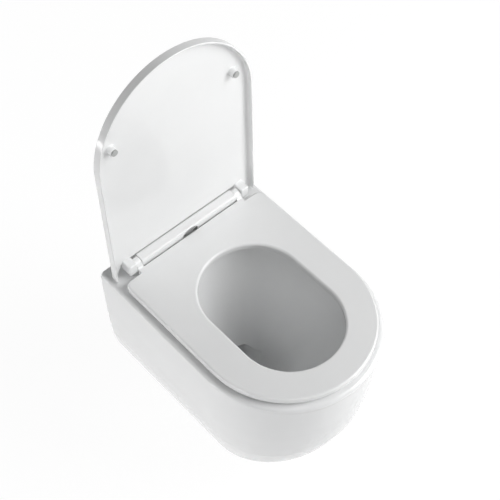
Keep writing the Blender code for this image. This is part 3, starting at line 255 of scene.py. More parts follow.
def run(start: Spot, end: Spot, steps: int) -> Outline:
    """Return points along a line, without its last."""
    return [(start[0] + (end[0] - start[0]) * i / steps,
             start[1] + (end[1] - start[1]) * i / steps) for i in range(steps)]


def arc(centre: Spot, reach: Spot, start: float, end: float, steps: int) -> Outline:
    """Return the points of an ellipse's arc, both ends included.

    Args:
        centre: Centre of the ellipse.
        reach: Its two half axes.
        start: Angle of the first point.
        end: Angle of the last point.
        steps: How many steps lead from one to the other.

    Returns:
        The points in order.
    """
    angles = [start + (end - start) * i / steps for i in range(steps + 1)]
    return [(centre[0] + reach[0] * math.cos(t), centre[1] + reach[1] * math.sin(t))
            for t in angles]


def bow(half: float, back: float, middle: float, front: float) -> Outline:
    """Return the right side, the round front and the left side of a D in plan.

    Args:
        half: Half of its width.
        back: Where both sides begin.
        middle: Where the sides meet the round front.
        front: Where the round front ends.

    Returns:
        The points from back right to back left, without the last.
    """
    return (run((half, back), (half, middle), SIDE_STEPS)
            + arc((0, middle), (half, front - middle), 0, math.pi, FRONT_STEPS)[:-1]
            + run((-half, middle), (-half, back), SIDE_STEPS))


def oval(half: float, rear: float, front: float, straight: float) -> Outline:
    """Return an oval in plan, from its rear right shoulder round the front.

    Args:
        half: Half of its width.
        rear: Where it ends towards the wall.
        front: Where it ends at the front.
        straight: Share of its length that is straight.

    Returns:
        The points of the oval.
    """
    end = (rear - front) * (1 - straight) / 2
    return (bow(half, rear - end, front + end, front)
            + arc((0, rear - end), (half, end), math.pi, 0, BACK_STEPS)[:-1])


def inset(outline: Outline, distance: float) -> Outline:
    """Move a closed outline inward by a distance, corners mitred.

    Args:
        outline: Points that run clockwise as seen from above.
        distance: How far each side moves.

    Returns:
        The inset outline, point for point.
    """
    moved = []
    for before, (x, y), after in zip(outline[-1:] + outline, outline, outline[1:] + outline[:1]):
        first = Vector((x - before[0], y - before[1])).normalized()
        second = Vector((after[0] - x, after[1] - y)).normalized()
        scale = distance / max(MITRE, 1 + first.dot(second))
        moved.append((x + (first.y + second.y) * scale, y - (first.x + second.x) * scale))
    return moved


def rounded_path(corners: list[Point], steps: int) -> Outline:
    """Round the inner corners of an open path.

    Args:
        corners: X, Y and radius of each corner.
        steps: How many steps round each arc.

    Returns:
        The points of the path.
    """
    path = [corners[0][:2]]
    for before, here, after in zip(corners, corners[1:], corners[2:]):
        spot = Vector(here[:2])
        back = (Vector(before[:2]) - spot).normalized()
        ahead = (Vector(after[:2]) - spot).normalized()
        half = back.angle(ahead) / 2
        centre = spot + (back + ahead).normalized() * (here[2] / math.sin(half))
        start = spot + back * (here[2] / math.tan(half)) - centre
        end = spot + ahead * (here[2] / math.tan(half)) - centre
        turn = start.angle_signed(end)
        for i in range(steps + 1):
            arm = start.copy()
            arm.rotate(Matrix.Rotation(-turn * i / steps, 2))
            path.append(tuple(centre + arm))
    path.append(corners[-1][:2])
    return path


def quarter(radius: float, steps: int = 8) -> Outline:
    """Inset and drop round a quarter circle, from its flat top to its side."""
    return arc((radius, radius), (-radius, -radius), QUARTER, 0, steps)


def blend_rows(rows: tuple, count: int, passes: int) -> np.ndarray:
    """Spread a table evenly over its first column and smooth the rest.

    Args:
        rows: Table whose first column grows.
        count: How many rows come back.
        passes: How often the rows are averaged with their neighbours.

    Returns:
        The smoothed table.
    """
    table = np.array(rows, dtype=float)
    first = np.linspace(table[0, 0], table[-1, 0], count)
    spread = np.column_stack([np.interp(first, table[:, 0], column) for column in table.T])
    for _ in range(passes):
        spread[1:-1, 1:] = (spread[:-2, 1:] + 2 * spread[1:-1, 1:] + spread[2:, 1:]) / 4
    return spread


def turn_piece(name: str, profile: Outline, centre: Point, axis: str,
               count: int = ROUND_STEPS) -> Piece:
    """Turn a profile round an axis into a closed piece.

    Args:
        name: Name of the new object.
        profile: Radii and places along the axis.
        centre: A point on the axis, from which the places count.
        axis: X, Y or Z.
        count: How many points go round.

    Returns:
        The new object.
    """
    order = {"X": (2, 0, 1), "Y": (0, 2, 1), "Z": (0, 1, 2)}[axis]
    rings = []
    for radius, along in profile:
        steps = [(radius * math.cos(t), radius * math.sin(t), along) for t in turns(count)]
        rings.append([tuple(c + step[i] for c, i in zip(centre, order)) for step in steps])
    return extrude_rings(name, rings)


def drill(piece: Piece, radius: float, span: Spot, centre: Point, axis: str,
          count: int = ROUND_STEPS) -> None:
    """Cut a round hole into a piece.

    Args:
        piece: The piece to drill.
        radius: Radius of the hole.
        span: Where it starts and ends along its axis.
        centre: A point on the axis, from which the span counts.
        axis: X, Y or Z.
        count: How many points go round.
    """
    profile = [(radius, along) for along in span]
    apply_tools(piece, turn_piece("bore", profile, centre, axis, count))


def block(name: str, low: Point, high: Point, radius: float = 0, steps: int = 4) -> Piece:
    """Stretch a cube between two corners and round its edges.

    Args:
        name: Name of the new object.
        low: One corner.
        high: The opposite corner.
        radius: Radius of all the edges, or 0 for sharp ones.
        steps: How many steps round an edge.

    Returns:
        The block.
    """
    clear_pick()
    bpy.ops.mesh.primitive_cube_add(size=1)
    piece = name_new(name)
    with all_in_edit():
        bpy.ops.transform.resize(value=[abs(b - a) for a, b in zip(low, high)])
        bpy.ops.transform.translate(value=[(a + b) / 2 for a, b in zip(low, high)])
    if radius:
        bevel_edges(piece, is_sharp, radius, steps)
    return piece


# ---- Finishes ----


def set_inputs(node: Node, **values: object) -> Node:
    """Set inputs of a shader node, with _ for a space in an input's name."""
    for name, value in values.items():
        node.inputs[name.replace("_", " ")].default_value = value
    return node


def add_node(tree: Tree, kind: str, **values: object) -> Node:
    """Add a shader node of a kind and set some of its inputs."""
    return set_inputs(tree.nodes.new(f"ShaderNode{kind}"), **values)


def wire(tree: Tree, *links: tuple) -> None:
    """Link nodes, each link given as node, output, node and input."""
    for source, output, target, entry in links:
        tree.links.new(source.outputs[output], target.inputs[entry])


@dataclass(frozen=True)
class Finish:
    """A surface with a slight change of tone, gloss and relief over it."""

    name: str
    colour: tuple[float, float, float]
    shade: tuple[float, float, float]
    roughness: tuple[float, float]
    tone_scale: float = 9.0
    grain_scale: float = 220.0
    relief: float = 0.02
    relief_depth: float = 0.1 * MM
    metallic: float = 0.0
    stretch: tuple[float, float, float] = (1.0, 1.0, 1.0)
    tone_span: tuple[float, float] = (0.35, 0.65)
    gloss_span: tuple[float, float] = (0.3, 0.7)

    def material(self) -> bpy.types.Material:
        """Return the material of this finish, made once."""
        found = bpy.data.materials.get(self.name)
        if found:
            return found
        made = bpy.data.materials.new(self.name)
        made.use_nodes = True
        tree = made.node_tree
        shader = set_inputs(tree.nodes["Principled BSDF"], Metallic=self.metallic)
        place = add_node(tree, "TexCoord")
        mapping = add_node(tree, "Mapping", Scale=self.stretch)
        tone = add_node(tree, "TexNoise", Scale=self.tone_scale, Detail=3.0)
        grain = add_node(tree, "TexNoise", Scale=self.grain_scale, Detail=4.0)
        ramp = add_node(tree, "ValToRGB")
        for stop, position, colour in zip(ramp.color_ramp.elements, self.tone_span,
                                          (self.shade, self.colour)):
            stop.position = position
            stop.color = (*colour, 1)
        gloss = add_node(tree, "MapRange", From_Min=self.gloss_span[0],
                         From_Max=self.gloss_span[1], To_Min=self.roughness[0],
                         To_Max=self.roughness[1])
        bump = add_node(tree, "Bump", Strength=self.relief, Distance=self.relief_depth)
        wire(tree, (place, "Object", mapping, "Vector"), (mapping, "Vector", tone, "Vector"),
             (mapping, "Vector", grain, "Vector"), (tone, "Fac", ramp, "Fac"),
             (ramp, "Color", shader, "Base Color"), (grain, "Fac", gloss, "Value"),
             (gloss, "Result", shader, "Roughness"), (grain, "Fac", bump, "Height"),
             (bump, "Normal", shader, "Normal"))
        return made


GLAZE = Finish("pan_glaze", (0.83, 0.835, 0.835), (0.80, 0.806, 0.81), (0.05, 0.09),
               tone_scale=5.0, grain_scale=90.0, relief=0.05, relief_depth=0.2 * MM)
DUROPLAST = Finish("seat_duroplast", (0.83, 0.835, 0.835), (0.81, 0.815, 0.816), (0.12, 0.18),
                   tone_scale=7.0, grain_scale=160.0, relief=0.03)
WHITE_PLASTIC = Finish("fitting_white", (0.74, 0.75, 0.75), (0.70, 0.71, 0.71), (0.28, 0.40),
                       grain_scale=500.0, relief=0.1)
GREY_PLASTIC = Finish("button_grey", (0.46, 0.465, 0.465), (0.43, 0.435, 0.435), (0.32, 0.45),
                      grain_scale=900.0, relief=0.12)
DAMPER_PLASTIC = Finish("damper_dark", (0.07, 0.075, 0.08), (0.055, 0.06, 0.065), (0.30, 0.42),
                        grain_scale=700.0, relief=0.1)
GREY_RUBBER = Finish("bumper_grey", (0.42, 0.425, 0.42), (0.38, 0.385, 0.38), (0.45, 0.60),
                     grain_scale=1200.0, relief=0.2)
BLACK_RUBBER = Finish("seal_black", (0.030, 0.030, 0.032), (0.022, 0.022, 0.024), (0.55, 0.72),
                      grain_scale=900.0, relief=0.25)
STEEL = Finish("fitting_steel", (0.60, 0.60, 0.59), (0.52, 0.52, 0.52), (0.22, 0.38),
               tone_scale=40.0, grain_scale=400.0, relief=0.15, metallic=1.0,
               stretch=(1.0, 8.0, 8.0))
BRASS = Finish("nut_brass", (0.66, 0.49, 0.22), (0.56, 0.41, 0.18), (0.25, 0.42),
               tone_scale=60.0, grain_scale=500.0, relief=0.15, metallic=1.0)


# ---- Hinge sizes that the seat, lid and bar share ----


@dataclass(frozen=True)
class Hinge:
    """Where the hinge axis lies and how the bar, lugs and knuckles share it."""

    axis_y: float = -40 * MM
    axis_z: float = 107 * MM
    bar_half: float = 115 * MM
    bar_depth: float = 21 * MM
    bar_top: float = 117.5 * MM
    bar_bottom: float = 89.5 * MM
    lug_start: float = 115.5 * MM
    lug_end: float = 128 * MM
    bush_bore: float = 5 * MM
    shaft_bore: float = 3.3 * MM
    open_angle: float = math.radians(91)

    def bore(self, piece: Piece, radius: float, span: Spot, side: int) -> None:
        """Drill a piece on the hinge axis, over a span out from the middle on a side."""
        drill(piece, radius, (side * span[0], side * span[1]), (0, self.axis_y, self.axis_z),
              "X", 32)


HINGE = Hinge()


# ---- The glazed pan ----


@dataclass
class Pan:
    """The ceramic casting with its deck, bowl, skirt, cavity, trap and spigot."""

    half_width: float = 180 * MM
    projection: float = 492 * MM
    height: float = 340 * MM
    deck_z: float = 85 * MM
    arc_y: float = -308 * MM
    wall: float = 11 * MM
    wall_rounding: float = 6 * MM
    deck_thickness: float = 14 * MM
    floor_thickness: float = 12 * MM
    edge_radius: float = 8 * MM
    back_radius: float = 3 * MM
    inner_corner: float = 0.2 * MM
    foot_rise: float = 0.8 * MM
    foot_shares: Spot = (0.96, 0.98)
    bowl_half: float = 127 * MM
    bowl_rear: float = -106 * MM
    bowl_front: float = -449 * MM
    bowl_depth: float = 300 * MM
    bowl_wall: float = 10 * MM
    shell_start: float = 0.06
    straight_share: float = 0.30
    web: tuple = ((-180, -14, -45), (180, 9, 85))
    duct: tuple = ((-36, -106, 46), (36, -40, 80))
    duct_radius: float = 5 * MM
    slot: tuple = ((-28, -112, 54), (28, -42, 69))
    slot_radius: float = 1 * MM
    insert: tuple = ((-27.85, -112, 54.15), (27.85, -76, 68.85))
    insert_mouths: tuple = (((-26.25, -118, 62.5), (-0.8, -73, 67.25)),
                            ((0.8, -118, 62.5), (26.25, -73, 67.25)))
    insert_radius: float = 1.2 * MM
    hole_depth: float = -17 * MM
    stud: Spot = (90 * MM, 10 * MM)
    hinge_hole: Spot = (77.5 * MM, 7 * MM)
    outlet: Spot = (42 * MM, -62 * MM)
    inlet: Spot = (27.5 * MM, -45 * MM)
    inlet_z: float = 35 * MM
    spigot_z: float = -100 * MM
    boss_profile: tuple = ((37.5, 9), (37.5, -49), (36.3, -52), (33.5, -53))
    spigot_profile: tuple = ((48, -4), (50.2, -4.6), (51, -6.5), (51, -67), (50, -69.5),
                             (47, -70))
    trap_bore: float = 50 * MM
    trap_wall: float = 9 * MM
    trap_path: tuple = ((-228, -189), (-183, -189), (-143, -168), (-103, -102), (-37, -100))
    mouth_z: float = -189 * MM
    mouth_drop: float = 24.4 * MM
    mouth_rows: tuple = (
        (-164, 24, 24), (-170, 25.2, 26.5), (-174, 26.2, 30), (-177, 27.4, 34.5), (-181, 29, 40),
        (-187, 32, 44), (-193, 36, 46), (-199, 40.5, 47), (-205, 43.5, 48))
    body_shares: tuple = (
        (0, 0, 0), (0.147, 0.003, 0.01), (0.294, 0.008, 0.02), (0.441, 0.017, 0.033),
        (0.588, 0.033, 0.051), (0.735, 0.083, 0.085), (0.8, 0.128, 0.113), (0.853, 0.183, 0.152),
        (0.905, 0.255, 0.19), (0.941, 0.322, 0.228), (0.978, 0.415, 0.28), (1, 0.5, 0.315))
    bowl_shares: tuple = (
        (0, 1, 0, 1), (0.1, 0.99, 0.003, 0.991), (0.267, 0.906, 0.026, 0.945),
        (0.433, 0.756, 0.076, 0.86), (0.6, 0.583, 0.135, 0.73), (0.733, 0.457, 0.175, 0.6),
        (0.867, 0.378, 0.21, 0.515), (0.967, 0.3, 0.24, 0.455), (1, 0.2, 0.275, 0.41))

    def outline(self, half: float, front: float, rear: float, corner: float) -> Outline:
        """Return the pan's D in plan, point for point with an oval.

        Args:
            half: Half of its width.
            front: Where it ends at the front.
            rear: Where it ends towards the wall.
            corner: Radius of its rear corners.

        Returns:
            The points of the D.
        """
        side, back = half - corner, rear - corner
        reach = (corner, corner)
        return (bow(half, back, self.arc_y, front)
                + arc((-side, back), reach, math.pi, QUARTER, CORNER_STEPS)[:-1]
                + run((-side, rear), (side, rear), BACK_STEPS - 2 * CORNER_STEPS)
                + arc((side, back), reach, QUARTER, 0, CORNER_STEPS)[:-1])

    def bowl_ring(self, width: float, rear: float, front: float, grow: float,
                  depth: float) -> Ring:
        """Return a ring of the bowl.

        Args:
            width: Share of the bowl's half width.
            rear: Share of its length where the ring's rear lies.
            front: Share of its length where the ring's front lies.
            grow: How far the ring moves outward.
            depth: Depth below the deck.

        Returns:
            The points of the ring.
        """
        length = self.bowl_rear - self.bowl_front
        return lift(oval(width * self.bowl_half + grow, self.bowl_rear - rear * length + grow,
                         self.bowl_rear - front * length - grow, self.straight_share),
                    self.deck_z - depth)

    def bowl_rings(self) -> list[Ring]:
        """Return the rings of the bowl's inside, from its floor to the flat deck."""
        rings = [self.bowl_ring(width, rear, front, 0, depth * self.bowl_depth)
                 for depth, width, rear, front
                 in blend_rows(self.bowl_shares, count=61, passes=6)[::-1]
                 if depth * self.bowl_depth > self.edge_radius + MM]
        return rings + [self.bowl_ring(1, 0, 1, flare, depth)
                        for flare, depth in reversed(quarter(self.edge_radius))]

    def shell_rings(self) -> list[Ring]:
        """Return the rings of the bowl's outside, inside the casting."""
        wall = self.bowl_wall
        rings = [self.bowl_ring(1, 0, 1, wall, self.deck_thickness / 2)]
        return rings + [
            self.bowl_ring(width, rear, front, wall, depth * (self.bowl_depth + wall))
            for depth, width, rear, front in blend_rows(self.bowl_shares, count=31, passes=3)
            if depth > self.shell_start]

    def body_rings(self, grow: float, top: float, height: float, rear: float, count: int,
                   rounding: float) -> list[Ring]:
        """Return rings of the casting's outside, or of the cavity in it.

        Args:
            grow: How far the rings move outward.
            top: Depth of the first ring below the deck.
            height: Depth of the last ring below the deck.
            rear: Where the rings end towards the wall.
            count: How many rings the table gives.
            rounding: Radius of the top edge.

        Returns:
            The rings from top to bottom.
        """
        corner = max(self.back_radius + grow, self.inner_corner)
        rings = [lift(self.outline(self.half_width + grow - side, side - grow - self.projection,
                                   rear, corner), self.deck_z - top - drop)
                 for side, drop in quarter(rounding)]
        return rings + [
            lift(self.outline(self.half_width * (1 - side) + grow,
                              (front - 1) * self.projection - grow, rear, corner),
                 self.deck_z - depth * height)
            for depth, side, front in blend_rows(self.body_shares, count, passes=5)
            if depth * height >= top + rounding + MM]

    def tube(self, name: str, diameter: float) -> Piece:
        """Bend a tube along the trapway's path.

        Args:
            name: Name of the new object.
            diameter: How wide the tube is.

        Returns:
            The tube, solid inside.
        """
        knots = [Vector((0, y * MM, z * MM)) for y, z in self.trap_path]
        knots = [2 * knots[0] - knots[1]] + knots + [2 * knots[-1] - knots[-2]]
        path = []
        for a, b, c, d in zip(knots, knots[1:], knots[2:], knots[3:]):
            for t in np.linspace(0, 1, 8, endpoint=False):
                path.append(0.5 * ((2 * b) + (c - a) * t + (2 * a - 5 * b + 4 * c - d) * t ** 2
                                   + (3 * b - a - 3 * c + d) * t ** 3))
        path.append(knots[-2])
        rings = []
        for before, spot, after in zip(path[:1] + path, path, path[1:] + path[-1:]):
            ahead = (after - before).normalized()
            side = Vector((0, -ahead.z, ahead.y))
            rings.append([tuple(spot + diameter / 2 * (math.cos(t) * Vector((1, 0, 0))
                                                       + math.sin(t) * side))
                          for t in turns(SMALL_STEPS)])
        return extrude_rings(name, rings)

    def mouth(self) -> Piece:
        """Return the funnel that eases the sump into the trapway."""
        return extrude_rings("trap_mouth", [
            [(half * MM * math.cos(t), y * MM,
              self.mouth_z + (rise * MM if t < math.pi else self.mouth_drop) * math.sin(t))
             for t in turns(ROUND_STEPS)] for y, half, rise in self.mouth_rows])

    def cavity(self) -> Piece:
        """Return the hollow behind the bowl, with the bowl, web and pipes left standing."""
        hollow = extrude_rings("cavity", self.body_rings(
            -self.wall, self.deck_thickness, self.height - self.floor_thickness, CLEAR,
            count=41, rounding=self.wall_rounding))
        return apply_tools(
            hollow, extrude_rings("bowl_shell", self.shell_rings()),
            block("web", *in_mm(*self.web)),
            block("duct", *in_mm(*self.duct), self.duct_radius),
            turn_piece("boss", in_mm(*self.boss_profile), (0, 0, self.inlet_z), "Y"),
            self.tube("trap_shell", self.trap_bore + 2 * self.trap_wall),
            turn_piece("spigot", in_mm(*self.spigot_profile), (0, 0, self.spigot_z), "Y"))

    def distributor(self) -> None:
        """Build the flush insert, its front level with the bowl and its mouths up high."""
        insert = block("flush_insert", *in_mm(*self.insert))
        apply_tools(insert, extrude_rings("bowl_room", self.bowl_rings()),
                    *[block("mouth", *in_mm(*corners), self.insert_radius)
                      for corners in self.insert_mouths])
        settle(insert, DUROPLAST, "pan", ("flush_distributor",))

    def build(self) -> None:
        """Build the insert and the casting, cut hollow from behind, and drill its holes."""
        self.distributor()
        rings = self.bowl_rings() + self.body_rings(0, 0, self.height, 0, count=81,
                                                    rounding=self.edge_radius)
        narrow, short = self.foot_shares
        last = [(x * narrow, y * short if y < -MM else y, z) for x, y, z in rings[-1]]
        rings[-1] = [(x, y, z + self.foot_rise) for x, y, z in rings[-1]]
        pan = extrude_rings("glazed_pan", rings + [last])
        apply_tools(pan, self.cavity(), self.tube("trapway", self.trap_bore), self.mouth())
        for (radius, end), z in ((self.outlet, self.spigot_z), (self.inlet, self.inlet_z)):
            drill(pan, radius, (CLEAR, end), (0, 0, z), "Y")
        apply_tools(pan, block("flush_slot", *in_mm(*self.slot), self.slot_radius))
        for (x, radius), y, z, axis in ((self.stud, 0, 0, "Y"),
                                        (self.hinge_hole, HINGE.axis_y, self.deck_z, "Z")):
            for side in SIDES.values():
                drill(pan, radius, (CLEAR, self.hole_depth), (side * x, y, z), axis)
        settle(pan, GLAZE, "pan", (
            "pan_back", "pan_deck", "pan_skirt_left", "pan_skirt_right", "pan_base", "pan_duct",
            "pan_bowl_upper", "pan_bowl_lower", "pan_trap", "pan_spigot"))


# ---- Seat ----


@dataclass
class Seat:
    """The seat ring, its lugs and the pads under it."""

    bottom: float = 88.5 * MM
    top: float = 103.5 * MM
    half_width: float = 168 * MM
    front: float = -480 * MM
    rear: float = -52.9 * MM
    rear_gap: float = 0.3 * MM
    shoulder: float = -60.5 * MM
    corner: float = 15 * MM
    top_radius: float = 4 * MM
    rear_share: float = 0.3
    bottom_radius: float = 3 * MM
    opening_half: float = 101.5 * MM
    opening_rear: float = -125 * MM
    opening_front: float = -424 * MM
    opening_straight: float = 0.318
    opening_radius: float = 5 * MM
    arc_y: float = -308 * MM
    root_sink: float = 0.2 * MM
    root_reach: float = 4 * MM
    root_end: float = -58 * MM
    foot_turn: float = 0.25
    foot_steps: tuple = ((1.6, 0.9), (3.6, 0))
    lug_edge: float = 0.9 * MM
    bore: Spot = (111.75 * MM, 131.75 * MM)
    pads: tuple = (("rear", 135 * MM, -100 * MM), ("front", 124 * MM, -400 * MM))
    pad_profile: tuple = ((4, 85.55), (5.6, 85.3), (6.5, 85.6), (7, 86.4), (7, 88.2))

    def outline(self) -> Outline:
        """Return the outside in plan, point for point with the opening."""
        half, radius, step = self.half_width, self.corner, HINGE.lug_end + self.rear_gap
        side, start = half - radius, self.shoulder - radius
        left = arc((-side, start), (radius, radius), math.pi, QUARTER, 12)
        left += [(-(side + step) / 2, self.shoulder), (-step, self.shoulder)]
        return (bow(half, start, self.arc_y, self.front) + left
                + run((-step, self.rear), (step, self.rear), BACK_STEPS - 2 * len(left))
                + [(step, self.rear)] + [(-x, y) for x, y in reversed(left[1:])])

    def opening(self, flare: float, z: float) -> Ring:
        """Return a ring of the opening, widened by a flare."""
        return lift(oval(self.opening_half + flare, self.opening_rear + flare,
                         self.opening_front - flare, self.opening_straight), z)

    def rings(self) -> list[Ring]:
        """Return the rings round the seat's section, from under the opening's edge."""
        rings = [self.opening(flare, self.bottom + depth)
                 for flare, depth in quarter(self.bottom_radius, 5)]
        rings += [self.opening(flare, self.top - depth)
                  for flare, depth in reversed(quarter(self.opening_radius))]
        outside = self.outline()
        shares = [self.rear_share if y > self.rear - MM else 1 for x, y in outside]
        for side, drop in quarter(self.top_radius):
            wide, tight = inset(outside, side), inset(outside, side * self.rear_share)
            rings.append([(*(a if share == 1 else (a[0], b[1])), self.top - drop * share)
                          for a, b, share in zip(wide, tight, shares)])
        return rings + [lift(inset(outside, side), self.bottom + rise)
                        for side, rise in reversed(quarter(self.bottom_radius, 5))]

    def lug(self, side: int) -> Piece:
        """Build the lug at one end of the bar, with its root on the ring.

        Args:
            side: -1 for the left one, 1 for the right one.

        Returns:
            The lug, not drilled yet.
        """
        radius = HINGE.bar_depth / 2
        y, z = HINGE.axis_y, HINGE.axis_z
        buried, root = self.shoulder - self.root_reach, self.top - self.root_sink
        end = math.pi - math.asin((root - z) / radius) - self.foot_turn
        section = [(buried, z - radius)] + arc((y, z), (radius, radius), -QUARTER, end, 32)
        last = section[-1][0]
        section += [(last - out, root + up) for out, up in in_mm(*self.foot_steps)]
        section.append((buried, root))
        lug = extrude_rings("lug", [[(side * x, a, b) for a, b in section]
                                    for x in (HINGE.lug_start, HINGE.lug_end)])
        bevel_edges(lug, lambda edge: is_rim(edge) and max(
            vert.co.y for vert in edge.verts) > self.root_end, self.lug_edge, 3)
        return lug

    def build(self) -> None:
        """Build the ring with its lugs, and the pads."""
        seat = extrude_rings("seat_moulding", self.rings(), Ends.LOOPED)
        for side in SIDES.values():
            apply_tools(seat, self.lug(side), way=Cut.JOIN)
            HINGE.bore(seat, HINGE.bush_bore if side < 0 else HINGE.shaft_bore, self.bore, side)
        settle(seat, DUROPLAST, "seat", ("seat_ring", "seat_lug_left", "seat_lug_right"))
        for label, x, y in self.pads:
            for name, side in SIDES.items():
                pad = turn_piece(f"seat_pad_{label}_{name}", in_mm(*self.pad_profile),
                                 (side * x, y, 0), "Z", SMALL_STEPS)
                settle(pad, GREY_RUBBER, "seat", (f"seat_bumper_{label}_{name}",))


# ---- Lid ----


@dataclass
class Lid:
    """The lid's shell with its wings, knuckles, collars and bumpers, built shut."""

    half_width: float = 170 * MM
    front: float = -483.5 * MM
    bottom: float = 105 * MM
    top: float = 122 * MM
    face: float = 117 * MM
    rim: float = 3.5 * MM
    rear_path: tuple = (
        (0, -52.5, 0), (128.2, -52.5, 0.3), (128.2, -27, 4.2), (146, -27, 4.2),
        (146, -52.5, 1.5), (157, -34, 8), (161, -22, 4.2), (170, -22, 4.4), (170, -308, 0))
    edge_radius: float = 2.5 * MM
    inner_radius: float = 6 * MM
    outer_lip: float = 1.5 * MM
    inner_lip: float = 1.3 * MM
    arc_y: float = -308 * MM
    steps: int = 64
    knuckle: tuple = ((128.5, -55, 95), (146, -30.5, 120))
    knuckle_radius: float = 2.6 * MM
    bore: Spot = (125.5 * MM, 143.5 * MM)
    bumper: Spot = (133.5 * MM, -353 * MM)
    collar_low: float = 106.6 * MM
    collar_foot: tuple = ((6.9, 0.1), (7.3, 0), (7.9, 0.3), (8.2, 1))
    collar_root: tuple = ((8.5, -1.6), (8.9, -0.6), (9.6, 0), (9.6, 1))
    recess_gap: float = 0.2 * MM
    recess_depth: float = 2.2 * MM
    pad_low: float = 103.8 * MM
    pad_sink: float = 2 * MM
    pad_radius: float = 6.3 * MM
    pad_edge: tuple = ((1.8, 0.2), (1.2, 0), (0.5, 0.1), (0.1, 0.4), (0, 0.9))

    def outline(self) -> Outline:
        """Return the shut lid in plan, from the middle of its rear edge round by the right."""
        right = rounded_path(in_mm(*self.rear_path), 8)
        right += arc((0, self.arc_y), (self.half_width, self.front - self.arc_y), 0, QUARTER,
                     self.steps)[1:]
        return right + [(-x, y) for x, y in reversed(right[1:-1])]

    def inside(self) -> Piece:
        """Return the hollow under the lid, filleted where panel and rim meet."""
        levels = [(-gone, self.bottom + drop) for gone, drop in quarter(self.inner_lip, 4)]
        levels.insert(0, (levels[0][0], self.bottom - CLEAR))
        levels += [(gone, self.face - drop) for gone, drop in reversed(quarter(self.inner_radius))]
        rings = []
        for side, z in levels:
            half, front = self.half_width - self.rim - side, self.front + self.rim + side
            bend = arc((0, self.arc_y), (half, front - self.arc_y), 0, math.pi, 2 * self.steps)
            rings.append(lift([(half, CLEAR)] + bend + [(-half, CLEAR)], z))
        return extrude_rings("lid_inside", rings)

    def shell(self) -> Piece:
        """Return the lid's shell with its lip and rear edges eased."""
        outline = self.outline()
        rings = [lift(inset(outline, side), self.bottom + rise)
                 for side, rise in quarter(self.outer_lip, 4)]
        rings += [lift(inset(outline, side), self.top - drop)
                  for side, drop in reversed(quarter(self.edge_radius))]
        return apply_tools(extrude_rings("lid_moulding", rings), self.inside())

    def collar(self, centre: Point) -> Piece:
        """Build a collar that carries a bumper in its recess.

        Args:
            centre: A point on its axis.

        Returns:
            The collar.
        """
        low = self.collar_low
        profile = [(radius, low + rise) for radius, rise in in_mm(*self.collar_foot)]
        profile += [(radius, self.face + rise) for radius, rise in in_mm(*self.collar_root)]
        collar = turn_piece("collar", profile, centre, "Z", SMALL_STEPS)
        drill(collar, self.pad_radius + self.recess_gap, (low - CLEAR, low + self.recess_depth),
              centre, "Z", SMALL_STEPS)
        return collar

    def open(self, piece: Piece) -> None:
        """Turn a piece built shut to the open lid's place."""
        pick_only(piece)
        with all_in_edit():
            bpy.ops.transform.rotate(value=HINGE.open_angle, orient_axis="X",
                                     center_override=(0, HINGE.axis_y, HINGE.axis_z))

    def build(self) -> None:
        """Build the shell with its knuckles and collars, and the bumpers."""
        lid = self.shell()
        x, y = self.bumper
        for side in SIDES.values():
            corners = [(side * a, b, c) for a, b, c in in_mm(*self.knuckle)]
            knuckle = block("knuckle", *corners, self.knuckle_radius, 5)
            apply_tools(lid, knuckle, self.collar((side * x, y, 0)), way=Cut.JOIN)
            HINGE.bore(lid, HINGE.shaft_bore if side < 0 else HINGE.bush_bore, self.bore, side)
        self.open(lid)
        settle(lid, DUROPLAST, "lid", ("seat_lid", "lid_knuckle_left", "lid_knuckle_right",
                                       "lid_wing_left", "lid_wing_right"))
        profile = [(self.pad_radius - gone, self.pad_low + rise)
                   for gone, rise in in_mm(*self.pad_edge)]
        profile.append((self.pad_radius, self.collar_low + self.pad_sink))
        for name, side in SIDES.items():
            pad = turn_piece(f"lid_pad_{name}", profile, (side * x, y, 0), "Z", SMALL_STEPS)
            self.open(pad)
            settle(pad, GREY_RUBBER, "lid", (f"lid_bumper_{name}",))


# ---- Hinge bar and release button ----


